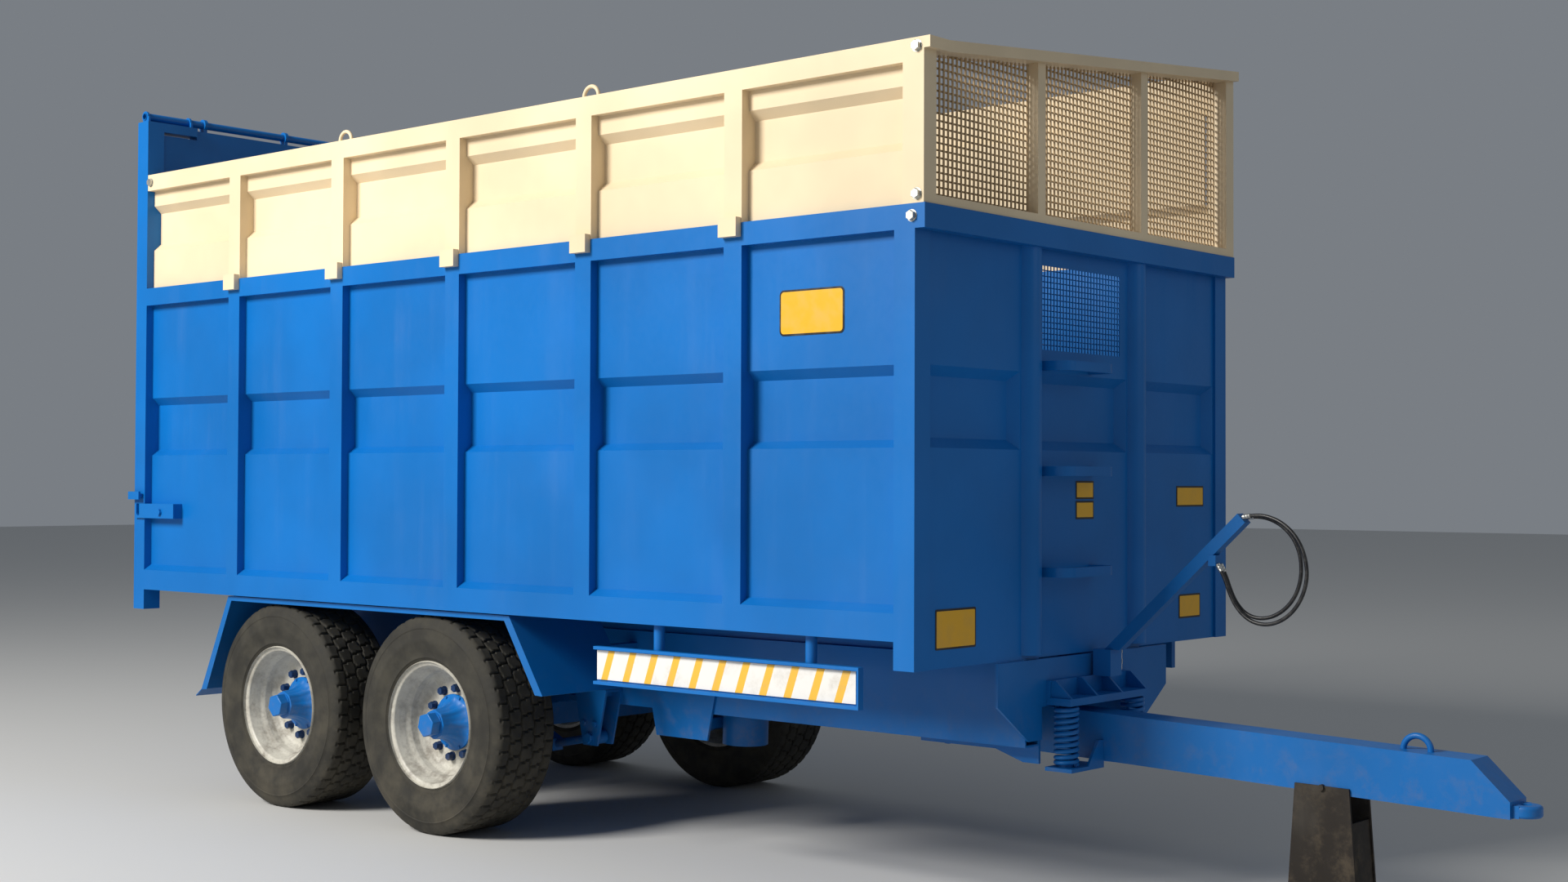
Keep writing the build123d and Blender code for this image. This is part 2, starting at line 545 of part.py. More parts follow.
def floor():
    """Floor plate on cross bearers and two runners that end in the tip hinge."""
    inner = SHEET_Y - SHEET - 1
    front_inner = HALF_WIDTH - POST_WIDTH - 1
    plate = block(REAR_POST_FRONT, fore(-POST_WIDTH), -inner, inner,
                  up(FLOOR_TOP - FLOOR_PLATE), up(FLOOR_TOP))
    plate += block(fore(-POST_WIDTH), fore(FRONT_SHEET_X - SHEET - 1), -front_inner, front_inner,
                   up(FLOOR_TOP - FLOOR_PLATE), up(FLOOR_TOP))
    save("floor_plate", plate)
    hinge_x, hinge_z = fore(-TIP_HINGE_BACK), up(TIP_HINGE_UP)
    runner_y0, runner_y1 = RAIL_OUTER_Y - RAIL_WIDTH + 18, RAIL_OUTER_Y - 18
    pieces = []
    for back in [b - POST_WIDTH / 2 for b in POST_BACKS] + [150.0, TIP_HINGE_BACK]:
        pieces.append(tube_box(fore(-back - 40), fore(-back + 40), -inner, inner,
                               up(SILL_BOTTOM), up(FLOOR_TOP - FLOOR_PLATE), 5, "Y"))
    y_mid, width = (runner_y0 + runner_y1) / 2, runner_y1 - runner_y0
    runner = tube_box(hinge_x, fore(-22), runner_y0, runner_y1, up(0), up(SILL_BOTTOM), 6)
    runner += rod(hinge_x, y_mid, hinge_z, TIP_HINGE_UP, width, "Y")
    runner += block(hinge_x - 30, hinge_x + 60, runner_y0, runner_y1, hinge_z, up(SILL_BOTTOM))
    runner -= rod(hinge_x, y_mid, hinge_z, TIP_PIN_RADIUS + RUN_FIT, width + 10, "Y")
    x, z = RAM_TOP
    bearer_rear = fore(-POST_BACKS[1] + POST_WIDTH / 2 - 40)
    socket = block(x - 95, bearer_rear, -90, 90, z + BALL_RADIUS + FREE, up(FLOOR_TOP - FLOOR_PLATE))
    save("floor_frame", pieces + both_sides(runner) + [socket])


def silage_sides():
    """Pressed silage sheets, their welded frames, loops and bolts."""
    sheets, frames, loops, bolts = [], [], [], []
    x0, x1 = REAR_POST_FRONT + FREE, fore(-60)
    for side in SIDES:
        top = SILAGE_TOPS[side]
        band = SILAGE_BANDS[side]
        rail_bottom = top - SILAGE_RAIL_DEPTH
        sheets.append(to_side(folded_sheet(TOP_RAIL_TOP, top - 2, band, x0, x1), side))
        frames.append(to_side(hollow_rail(rail_bottom, top, x0, x1), side))
        for back in POST_BACKS:
            post = pressed_post(TOP_RAIL_TOP, rail_bottom, band, fore(-back))
            post += block(fore(-back - 4), fore(-back + POST_WIDTH - 4), HALF_WIDTH, HALF_WIDTH + 32,
                          up(TOP_RAIL_TOP - 59), up(TOP_RAIL_TOP + 21))
            frames.append(to_side(post, side))
        for back in (1813.0, 3594.0):
            ring = Pos(fore(-back), SHEET_Y + 22, up(top)) * Rot(90, 0, 0) * Torus(46, 9)
            crown = block(fore(-back - 80), fore(-back + 80), SHEET_Y, HALF_WIDTH, up(top), up(top + 80))
            loops.append(to_side(ring & crown, side))
        for back, height in ((-9.0, top - 34), (-9.0, 1826.0), (14.0, 1744.0), (5350.0, top - 44)):
            proud = HALF_WIDTH
            head = extrude(Plane(origin=(fore(-back), proud, up(height)), x_dir=(1, 0, 0), z_dir=(0, 1, 0))
                           * RegularPolygon(20, 6), amount=13)
            bolts.append(to_side(head, side))
    save("silage_sheets", sheets)
    save("silage_frames", frames)
    save("lifting_loops", loops)
    save("cover_bolts", bolts)


def silage_front():
    """Front frame with a sloping top rail, and the mesh behind it."""
    y_flat = 130.0 - HALF_WIDTH
    rise = (SILAGE_LEFT_TOP - SILAGE_RIGHT_TOP) / (HALF_WIDTH - y_flat)

    def top_at(y):
        return SILAGE_RIGHT_TOP + max(0.0, y - y_flat) * rise

    rail = 45.0
    edge = HALF_WIDTH
    line = [(-edge, top_at(-edge)), (y_flat, top_at(y_flat)), (edge, top_at(edge)),
            (edge, top_at(edge) - rail), (y_flat, top_at(y_flat) - rail), (-edge, top_at(-edge) - rail)]
    frame = [slab_yz([(y, up(z)) for y, z in line], fore(-60), fore(71))]
    foot = TOP_RAIL_TOP + 36
    frame.append(block(fore(-60), fore(42), -edge, edge, up(TOP_RAIL_TOP), up(foot)))
    for y0, y1 in ((-edge, -edge + 80), (edge - 70, edge)):
        frame.append(block(fore(-60), fore(42), y0, y1, up(foot), up(top_at(y1) - rail)) - frame[0])
    for centre in (-411.0, 405.0):
        post = block(fore(-8), fore(42), centre - 28, centre + 28, up(foot), up(top_at(centre + 28) - rail))
        frame.append(post - frame[0])
    save("silage_front_frame", frame)
    low, inner = TOP_RAIL_TOP + 37, edge - 82
    plane = Plane(origin=(fore(-13), 0, up(2250)), x_dir=(0, 1, 0), z_dir=(1, 0, 0))
    sheet = extrude(plane * lattice(2 * inner, 900, 90, 9), amount=4)
    keep = slab_yz([(-inner, up(low)), (inner, up(low)), (inner, up(top_at(inner) - rail - 1)),
                    (y_flat, up(top_at(y_flat) - rail - 1)), (-inner, up(top_at(-inner) - rail - 1))],
                   fore(-40), fore(0))
    save("silage_front_mesh", sheet & keep)


WEB_Y = HALF_WIDTH - 32      # inner face of the side guards' web


def side_guards():
    """Channel frame hung on two round tubes, with a board let into it."""
    rear, front, low, high = fore(-1760), fore(-272), up(-166), up(0)
    frame = block(rear, front, WEB_Y, WEB_Y + 6, low, high)
    frame += block(rear, front, WEB_Y, HALF_WIDTH, high - 14, high)
    frame += block(rear, front, WEB_Y, HALF_WIDTH, low, low + 14)
    frame += block(front - 8, front, WEB_Y, HALF_WIDTH, low, high)
    tubes = []
    for back in (1414.0, 561.0):
        tube_low, tube_high = low + 20, up(SILL_BOTTOM)
        tube = rod(fore(-back), WEB_Y - 28, (tube_high + tube_low) / 2, 24, tube_high - tube_low, "Z")
        tube += block(fore(-back - 20), fore(-back + 20), WEB_Y - 28, WEB_Y, low + 22, high - 16)
        tubes += both_sides(tube)
    save("side_guard_frames", both_sides(frame) + tubes)
    board = block(rear + 4, front - 28, WEB_Y + 6, WEB_Y + 12, low + 20, high - 18)
    save("side_guard_boards", both_sides(board))


# ---------------------------------------------------------------- tailgate
def tailgate():
    """Framed gate between the rear posts, hung on lugs round the hinge pipe."""
    x0, x1 = REAR_FACE + 4, REAR_FACE + 4 + GATE_THICK
    half = HALF_WIDTH - POST_WIDTH - GATE_GAP
    low, shoulder, top = up(118), up(REAR_POST_TOP - 50 - GATE_SWEEP), up(REAR_POST_TOP - 12)
    bar = 80.0
    pieces = []
    for y in (half - bar, 330.0):
        pieces += both_sides(tube_box(x0, x1 - SHEET, y, y + bar, low, shoulder, WALL_PLATE, "Z"))
    for z0 in (low, up(870), up(1690), shoulder - bar):
        for y0, y1 in ((330 + bar, half - bar), (-half + bar, -330 - bar), (-330, 330)):
            pieces.append(tube_box(x0, x1 - SHEET, y0, y1, z0, z0 + bar, WALL_PLATE, "Y"))
    x, z = fore(-GATE_HINGE_BACK), up(GATE_HINGE_UP)
    header_y = HALF_WIDTH - 325
    header = block(x0, x1 - SHEET, -header_y, header_y, shoulder, top)
    for y in (65 - header_y, -280, 280, header_y - 65):
        header += block(x - 22, x + 22, y - 10, y + 10, top, z) + rod(x, y, z, 34, 20, "Y")
    pieces.append(header - rod(x, 0, z, GATE_PIPE_RADIUS + RUN_FIT, 1900, "Y"))
    y0, y1, z0, z1 = half - 60, HALF_WIDTH + 32, up(CATCH_UP - 22), up(CATCH_UP + 22)
    pieces += both_sides(block(REAR_FACE - 16, REAR_FACE - FREE, y0, y1, z0, z1))
    pieces += both_sides(block(REAR_FACE - FREE, x0, y0, y0 + 40, z0, z1))
    pieces += both_sides(block(REAR_FACE - FREE, CATCH_X + 16, y1 - 12, y1, z0, z1))
    pieces += both_sides(rod(CATCH_X, y1 - 20.5, up(CATCH_UP), CATCH_RADIUS, 17, "Y"))
    pieces += both_sides(block(-OVERALL_LENGTH / 2, x0, half - 63, half - 47, up(968), up(1050)))
    save("gate_frame", pieces)
    save("gate_sheet", block(x1 - SHEET, x1, -half, half, low, shoulder))


def gate_hooks():
    """Side hooks that swing up and catch the gate's pins, on pads with bolts."""
    x, z = fore(-HOOK_BACK), up(HOOK_UP)
    reach = math.hypot(CATCH_X - x, up(CATCH_UP) - z)
    y0 = HALF_WIDTH + FREE
    bar = block(x - reach - 30, x + 134, y0, y0 + 12, z - 34, z + 46)
    slot_x, slot_half = x - reach + 4, CATCH_RADIUS + 7
    bar -= block(slot_x - slot_half, slot_x + slot_half, y0 - 1, y0 + 13, z - 3, z + 60)
    bar -= rod(slot_x, y0 + 6, z - 3, slot_half, 14, "Y")
    bar -= rod(x, y0 + 6, z, HOOK_PIN_RADIUS + RUN_FIT, 20, "Y")
    for side in SIDES:
        save(f"gate_hook_{side}", to_side(bar, side))
    pad = block(REAR_POST_FRONT + 6, x + 130, SHEET_Y, HALF_WIDTH, z - 34, z + 46)
    pad += rod(x, HALF_WIDTH + 8, z, HOOK_PIN_RADIUS, 16, "Y")
    head_plane = Plane(origin=(x, y0 + 13, z), x_dir=(1, 0, 0), z_dir=(0, 1, 0))
    head = extrude(head_plane * RegularPolygon(19, 6), amount=12)
    save("hook_pads", both_sides(pad + head))


# ---------------------------------------------------------------- tipping ram
TRUNNION = (fore(-RAM_BACK), up(RAM_TRUNNION_UP))
HINGE = (fore(-TIP_HINGE_BACK), up(TIP_HINGE_UP))
RAM_RADIUS_ARM = math.hypot(TRUNNION[0] - HINGE[0], TRUNNION[1] - HINGE[1])
BALL_UP = 120.0
BALL_RISE = up(BALL_UP) - HINGE[1]
RAM_TOP = (HINGE[0] + math.sqrt(RAM_RADIUS_ARM ** 2 - BALL_RISE ** 2), up(BALL_UP))
RAM_CLOSED = math.hypot(RAM_TOP[0] - TRUNNION[0], RAM_TOP[1] - TRUNNION[1])
START_ANGLE = 2 * math.asin(RAM_CLOSED / (2 * RAM_RADIUS_ARM))
RAM_OPEN = 2 * RAM_RADIUS_ARM * math.sin((math.radians(TIP_ANGLE) + START_ANGLE) / 2)
RAM_LEAN = math.degrees(math.atan2(RAM_TOP[0] - TRUNNION[0], RAM_TOP[1] - TRUNNION[1]))


def ram():
    """Barrel on trunnions and five nested stages, the last with a ball end."""
    place = Pos(TRUNNION[0], 0, TRUNNION[1]) * Rot(0, RAM_LEAN, 0)
    top, bottom = RAM_BARREL_TOP, RAM_BARREL_TOP - RAM_BARREL_LENGTH
    wall = 8.0

    def stage_tube(radius, low, high, thickness):
        body = Pos(0, 0, (low + high) / 2) * Cylinder(radius, high - low)
        return body - Pos(0, 0, (low + high) / 2) * Cylinder(radius - thickness, high - low + 2)

    barrel = stage_tube(RAM_BARREL_RADIUS, bottom, top, wall)
    barrel += Pos(0, 0, bottom - 6) * Cylinder(RAM_BARREL_RADIUS, 12)
    for sign in (-1, 1):
        barrel += Pos(0, sign * (RAM_BARREL_RADIUS + 18), 0) * Rot(90, 0, 0) * Cylinder(TRUNNION_RADIUS, 50)
    save("ram_barrel", place * barrel)
    outer = RAM_BARREL_RADIUS - wall - 4
    for number in range(1, RAM_STAGES + 1):
        radius = outer - (number - 1) * RAM_STAGE_STEP
        low = bottom + 6 * number
        high = top + 12 * number
        stage = stage_tube(radius, low, high, RAM_STAGE_STEP - 4)
        if number == RAM_STAGES:
            solid = Pos(0, 0, (low + RAM_CLOSED) / 2) * Cylinder(radius - 10, RAM_CLOSED - low)
            stage = Pos(0, 0, (low + high) / 2) * Cylinder(radius, high - low)
            stage = stage + solid + Pos(0, 0, RAM_CLOSED) * Sphere(BALL_RADIUS)
        save(f"ram_stage_{number}", place * stage)


# ---------------------------------------------------------------- axles
def axle(name, back, hanger_back):
    """Square beam with stub ends, spring seats, and a rod to the hanger on each side."""
    x, z = fore(-back), up(AXLE_UP)
    half = AXLE_BEAM / 2
    outer = WHEEL_Y - 30
    stub_start = 690.0
    beam = block(x - half, x + half, -stub_start, stub_start, z - half, z + half)
    arms = []
    room, hollow = half - 14, stub_start - 20
    beam -= block(x - room, x + room, -hollow, hollow, z - room, z + room)
    eye_x, eye_z = fore(-hanger_back), up(HANGER_EYE_UP)
    toward = 1 if eye_x > x else -1
    foot_x, foot_z = x + toward * 150, up(-588)
    y0 = SPRING_Y_LEAF - 34
    for sign in (-1, 1):
        beam += rod(x, sign * (stub_start + outer) / 2, z, STUB_RADIUS, outer - stub_start + 20, "Y")
        ya, yb = sorted((sign * y0, sign * (y0 + 68)))
        beam += block(x - 62, x + 62, ya, yb, z + half, up(SPRING_SEAT_UP) - LEAVES * LEAF_THICK)
        bracket = [(x - toward * 60, z - half), (x + toward * 60, z - half),
                   (foot_x + toward * 30, foot_z + 28), (foot_x + toward * 30, foot_z - 30),
                   (foot_x - toward * 40, foot_z - 30)]
        arm = slab_xz(bracket, ya, yb)
        length = math.hypot(eye_x - foot_x, eye_z - foot_z)
        tilt = math.degrees(math.atan2(eye_x - foot_x, eye_z - foot_z))
        link = Pos((eye_x + foot_x) / 2, (ya + yb) / 2, (eye_z + foot_z) / 2) * Rot(0, tilt, 0)
        arm += link * Cylinder(20, length)
        arm += rod(eye_x, (ya + yb) / 2, eye_z, 34, 68, "Y")
        arms.append(arm - rod(eye_x, (ya + yb) / 2, eye_z, HANGER_PIN + RUN_FIT, 80, "Y"))
    save(f"axle_{name}", [beam, *arms])


def leaf_springs(name, back):
    """A pack of four leaves on each seat, held by two U-bolts and a top plate."""
    x = fore(-back)
    top = up(SPRING_SEAT_UP)
    base = top - LEAVES * LEAF_THICK
    y0, y1 = SPRING_Y_LEAF - SPRING_LEAF_WIDTH / 2, SPRING_Y_LEAF + SPRING_LEAF_WIDTH / 2
    packs = None
    for number in range(LEAVES):
        reach = LEAF_REACH - 90 * (LEAVES - 1 - number)
        low, high = base + number * LEAF_THICK, base + (number + 1) * LEAF_THICK
        line = [(x - reach, high), (x + reach, high), (x + reach, high - 6), (x + reach - 60, low),
                (x - reach + 60, low), (x - reach, high - 6)]
        piece = slab_xz(line, y0, y1)
        packs = piece if packs is None else packs + piece
    clamp = block(x - 86, x + 86, SPRING_Y_LEAF - 52, SPRING_Y_LEAF + 52, top, top + 14)
    foot = up(AXLE_UP) - AXLE_BEAM / 2 - 22
    for offset in (-70, 70):
        for y in (SPRING_Y_LEAF - 43, SPRING_Y_LEAF + 43):
            clamp += rod(x + offset, y, (top + 34 + foot) / 2, 7, top + 34 - foot, "Z")
    save(f"leaf_springs_{name}", both_sides(packs) + both_sides(clamp))


def equalisers():
    """Rockers between the front and rear springs."""
    x, z = fore(-TANDEM_BACK), up(EQUALISER_UP)
    end = up(SPRING_SEAT_UP) + FREE
    line = [(x - 152, end), (x - 152, end + 20), (x - 90, end + 30), (x + 90, end + 30),
            (x + 152, end + 20), (x + 152, end), (x + 90, end), (x + 38, z - 36), (x - 38, z - 36), (x - 90, end)]
    rocker = slab_xz(line, SPRING_Y_LEAF - 36, SPRING_Y_LEAF + 36)
    rocker -= rod(x, SPRING_Y_LEAF, z, HANGER_PIN + RUN_FIT, 100, "Y")
    save("equalisers", both_sides(rocker))


# ---------------------------------------------------------------- wheels
def ring_of(points, x, y, z, side):
    """Turn an outline of (radius, outward) points about a wheel's axis."""
    face = make_face(Polyline([(r, 0, w) for r, w in points], close=True))
    turned = revolve(face, axis=Axis.Z, revolution_arc=360)
    return Pos(x, side * y, z) * Rot(-90 * side, 0, 0) * turned


def wheels():
    """Tyre, and steel wheel with drum and hub, at each end of both axles."""
    w = TYRE_WIDTH / 2
    r, b = WHEEL_RADIUS, RIM_RADIUS
    tyre = [(b, -w + 52), (b + 18, -w + 30), (b + 60, -w + 12), (b + 130, -w), (r - 60, -w + 8),
            (r - 14, -w + 30), (r, -w + 52), (r, w - 52), (r - 14, w - 30), (r - 60, w - 8),
            (b + 130, w), (b + 60, w - 12), (b + 18, w - 30), (b, w - 52),
            (b + 16, w - 56), (b + 60, w - 36), (b + 130, w - 26), (r - 60, w - 34),
            (r - 30, w - 60), (r - 30, -w + 60), (r - 60, -w + 34), (b + 130, -w + 26),
            (b + 60, -w + 36), (b + 16, -w + 56)]
    rim = [(b, -w + 30), (RIM_FLANGE, -w + 22), (RIM_FLANGE, -w + 16), (b - 6, -w + 22), (b - 10, -w + 60),
           (b - 40, -w + 100), (b - 40, -60), (110, -60), (110, -76), (205, -76), (205, -w - 90),
           (193, -w - 90), (193, -88), (80, -88), (80, -150), (HUB_BORE, -150), (HUB_BORE, -14),
           (0.001, -14), (0.001, 178), (50, 178), (52, 120), (92, 108), (96, -20), (146, -26), (146, -50),
           (225, -50), (b - 18, -20), (b - 18, w - 90), (b - 10, w - 60), (b - 6, w - 22),
           (RIM_FLANGE, w - 16), (RIM_FLANGE, w - 22), (b, w - 30), (b, w - 52), (b - 4, w - 56),
           (b - 12, w - 94), (b - 12, -w + 94), (b - 4, -w + 56), (b, -w + 52)]
    for end, back in AXLE_BACKS.items():
        for side, sign in SIDES.items():
            place = (fore(-back), WHEEL_Y, up(AXLE_UP), sign)
            save(f"tyre_{end}_{side}", ring_of(tyre, *place))
            save(f"wheel_{end}_{side}", ring_of(rim, *place))


# ---------------------------------------------------------------- drawbar
def drawbar_top(x):
    """Height of the drawbar's top edge this far ahead of the body front."""
    return up(DRAWBAR_TOP_REAR - DRAWBAR_FALL * x)


def drawbar():
    """Tapered box beam on its rear hinge, with spring seats and the tow eye."""
    half = DRAWBAR_WIDTH / 2
    rear_x, nose_x, corner_x = -DRAWBAR_PIVOT_BACK, 1842.0, 1698.0
    line = [(rear_x, drawbar_top(rear_x) - DRAWBAR_DEPTH), (rear_x, drawbar_top(rear_x)),
            (corner_x, drawbar_top(corner_x)), (nose_x, up(-430)), (nose_x, up(-493))]
    beam = slab_xz([(fore(x), z) for x, z in line], -half, half)
    t = DRAWBAR_WALL
    core = [(rear_x + t, drawbar_top(rear_x) - DRAWBAR_DEPTH + t), (rear_x + t, drawbar_top(rear_x) - t),
            (corner_x - 5, drawbar_top(corner_x) - t), (nose_x - 30, up(-430)), (nose_x - 30, up(-493) + t)]
    beam -= slab_xz([(fore(x), z) for x, z in core], -half + t, half - t)
    x, z = fore(rear_x), up(DRAWBAR_PIVOT_UP)
    pin_hole = rod(x, 0, z, DRAWBAR_PIN_RADIUS + RUN_FIT, 900, "Y")
    beam -= pin_hole
    sleeve = rod(x, half + 120, z, 58, 240, "Y") - pin_hole
    pieces = both_sides(sleeve)
    for sign in (-1, 1):
        y0, y1 = sorted((sign * half, sign * (SPRING_Y + 66)))
        seat = block(fore(4), fore(134), y0, y1, up(SEAT_TOP - 16), up(SEAT_TOP))
        gusset = [(sign * half, up(SEAT_TOP)), (sign * 200, up(SEAT_TOP)), (sign * 122, up(-352)),
                  (sign * half, up(-352))]
        seat += slab_yz(gusset, fore(122), fore(134))
        seat += rod(fore(SPRING_X), sign * SPRING_Y, up(SEAT_TOP + 18), SPRING_RADIUS - SPRING_WIRE - 4, 36, "Z")
        pieces.append(seat - beam)
    pivot_x, pivot_z = fore(STAND_AHEAD), up(STAND_PIVOT_UP)
    beam -= rod(pivot_x, 0, pivot_z, STAND_PIN_RADIUS, 400, "Y")
    loop_x = 1460.0
    loop_z = drawbar_top(loop_x)
    ring = Pos(fore(loop_x), 0, loop_z) * Rot(90, 0, 0) * Torus(54, 12)
    loop = ring & block(fore(loop_x - 80), fore(loop_x + 80), -20, 20, loop_z - 6, loop_z + 90)
    pieces.append(loop - beam)
    eye_x, eye_z = fore(EYE_REACH - EYE_OUTER), up(EYE_UP)
    shank = block(fore(corner_x), eye_x, -EYE_OUTER, EYE_OUTER, eye_z - EYE_THICK / 2, eye_z + EYE_THICK / 2)
    beam -= shank
    save("drawbar_beam", [beam, *pieces])

    springs = []
    turns, low, high = 8, up(SEAT_TOP), up(SHELF_TOP - SHELF_THICK)
    pitch = (high - low - 2 * SPRING_WIRE) / turns
    for sign in (-1, 1):
        coils = None
        for number in range(turns + 1):
            height = low + SPRING_WIRE + number * pitch
            ring = Pos(fore(SPRING_X), sign * SPRING_Y, height) * Torus(SPRING_RADIUS, SPRING_WIRE)
            coils = ring if coils is None else coils + ring
        for quarter in range(4):
            angle = math.radians(90 * quarter)
            coils += rod(fore(SPRING_X) + SPRING_RADIUS * math.cos(angle),
                         sign * SPRING_Y + SPRING_RADIUS * math.sin(angle), (low + high) / 2, 3,
                         high - low - 2 * SPRING_WIRE, "Z")
        springs.append(coils)
    save("drawbar_springs", springs)

    eye = rod(eye_x, 0, eye_z, EYE_OUTER, EYE_THICK, "Z")
    eye = fillet(eye.edges().filter_by(GeomType.CIRCLE), 12)
    eye += shank - rod(eye_x, 0, eye_z, EYE_OUTER - 2, 2 * EYE_THICK, "Z")
    save("tow_eye", eye - rod(eye_x, 0, eye_z, EYE_BORE, 2 * EYE_THICK, "Z"))


def stand():
    """Folding stand: two cheeks, a front web and turned-out feet on one pin."""
    x, z = fore(STAND_AHEAD), up(STAND_PIVOT_UP)
    inner, plate = DRAWBAR_WIDTH / 2 + 1, 10.0
    line = [(x - 112, z + 8), (x + 112, z + 4), (x + 150, 0), (x - 150, 0)]
    leg = None
    for sign in (-1, 1):
        y0, y1 = sorted((sign * inner, sign * (inner + plate)))
        piece = slab_xz(line, y0, y1)
        y0, y1 = sorted((sign * inner, sign * (inner + 70)))
        piece += block(x - 150, x + 150, y0, y1, 0, 12)
        leg = piece if leg is None else leg + piece
    leg += slab_xz([(x + 106, z - 130), (x + 116, z - 130), (x + 144, 6), (x + 134, 6)], -inner - 2, inner + 2)
    leg += rod(x, 0, z, STAND_PIN_RADIUS - RUN_FIT, 2 * (inner + plate) + 20, "Y")
    save("drawbar_stand", leg)


chassis()
suspension_hangers()
ram_cradle()
tip_hinge()
mudguards()
rear_lights()
hose_arm()
hoses()
body_walls()
body_corners()
body_front()
floor()
silage_sides()
silage_front()
side_guards()
tailgate()
gate_hooks()
ram()
for axle_name, axle_back in AXLE_BACKS.items():
    axle(axle_name, axle_back, HANGER_FRONT_BACK if axle_name == "front" else HANGER_REAR_BACK)
    leaf_springs(axle_name, axle_back)
equalisers()
wheels()
drawbar()
stand()
print("tip hinge", [round(v, 2) for v in HINGE], "trunnion", [round(v, 2) for v in TRUNNION])
print("ram top", [round(v, 2) for v in RAM_TOP])
print("ram lean", round(RAM_LEAN, 4), "travel", round(RAM_OPEN - RAM_CLOSED, 2))
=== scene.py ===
# %% [markdown]
# # A high-sided tipping silage trailer
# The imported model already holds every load-carrying member at its real size. This script loads it as a fixed
# frame, gives each member its paint, and adds the pieces whose look needs finer work: tyres, wheels, wire mesh,
# coil springs, hoses, bolts and plates. Lengths are in metres, +X is forward and +Z is up.

# %% Load the frame
import math

import bmesh
import bpy
import numpy as np
from mathutils import Matrix, Vector


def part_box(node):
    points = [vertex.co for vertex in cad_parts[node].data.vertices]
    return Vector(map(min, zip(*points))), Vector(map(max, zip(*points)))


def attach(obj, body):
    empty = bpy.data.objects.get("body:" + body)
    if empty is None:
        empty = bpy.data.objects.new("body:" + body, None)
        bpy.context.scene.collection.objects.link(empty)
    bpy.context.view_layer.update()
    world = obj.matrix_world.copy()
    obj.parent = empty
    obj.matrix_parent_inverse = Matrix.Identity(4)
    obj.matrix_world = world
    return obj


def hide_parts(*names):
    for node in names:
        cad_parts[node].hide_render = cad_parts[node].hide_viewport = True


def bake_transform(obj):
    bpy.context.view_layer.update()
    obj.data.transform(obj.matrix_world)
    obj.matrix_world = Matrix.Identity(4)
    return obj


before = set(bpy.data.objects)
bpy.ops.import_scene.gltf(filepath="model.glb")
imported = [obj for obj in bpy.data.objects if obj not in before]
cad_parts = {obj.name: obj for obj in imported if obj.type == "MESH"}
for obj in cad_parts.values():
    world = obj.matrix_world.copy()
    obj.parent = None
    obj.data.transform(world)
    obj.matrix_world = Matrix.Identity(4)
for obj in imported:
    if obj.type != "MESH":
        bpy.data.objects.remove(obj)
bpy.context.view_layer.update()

# %% [markdown]
# The body's front face and the foot of its corner posts are the two places that every measure is taken from,
# so two small functions turn a distance ahead of that face, and a height above that foot, into the frame's X and Z.

# %% Two measuring places
FRONT_X = 1.835
POST_FOOT_Z = 0.972


def fore(mm):
    """X of a place this many millimetres ahead of the body's front face."""
    return FRONT_X + mm / 1000


def up(mm):
    """Z of a place this many millimetres above the corner posts' foot."""
    return POST_FOOT_Z + mm / 1000


print("front face at x", fore(0), "and post foot at z", up(0))

# %% [markdown]
# ## Camera
# The trailer is seen from low down, ahead of its front right corner. The lens is a little longer than normal and
# the camera looks a degree above level, so the tall sides keep their lines upright.

# %% Camera
CAMERA_PLACE = Vector((6.405, -7.2545, 1.6978))
HEADING, PITCH, ROLL = math.radians(40.903), math.radians(1.159), math.radians(0.196)
view_dir = Vector((-math.sin(HEADING) * math.cos(PITCH), math.cos(HEADING) * math.cos(PITCH), math.sin(PITCH)))
level_right = Vector((math.cos(HEADING), math.sin(HEADING), 0))
level_up = level_right.cross(view_dir)
cam_right = level_right * math.cos(ROLL) + level_up * math.sin(ROLL)
cam_up = level_up * math.cos(ROLL) - level_right * math.sin(ROLL)
turn = Matrix((cam_right, cam_up, -view_dir)).transposed()
camera_data = bpy.data.cameras.new("camera")
camera_data.lens = 45.5
camera_data.sensor_width = 36
camera_data.clip_end = 200
camera = bpy.data.objects.new("camera", camera_data)
camera.matrix_world = Matrix.Translation(CAMERA_PLACE) @ turn.to_4x4()
bpy.context.scene.collection.objects.link(camera)
bpy.context.scene.camera = camera
print("camera heading", round(math.degrees(HEADING), 1), "degrees, lens", camera_data.lens, "mm")

# %% [markdown]
# ## Writing finishes as sums
# A finish is a handful of patterns added, multiplied and mixed. Wrapping a socket in a small class lets such a sum be
# written as Python, and each operator adds its own Math node. Colours go through Mix nodes, because a Math node
# would turn them grey.


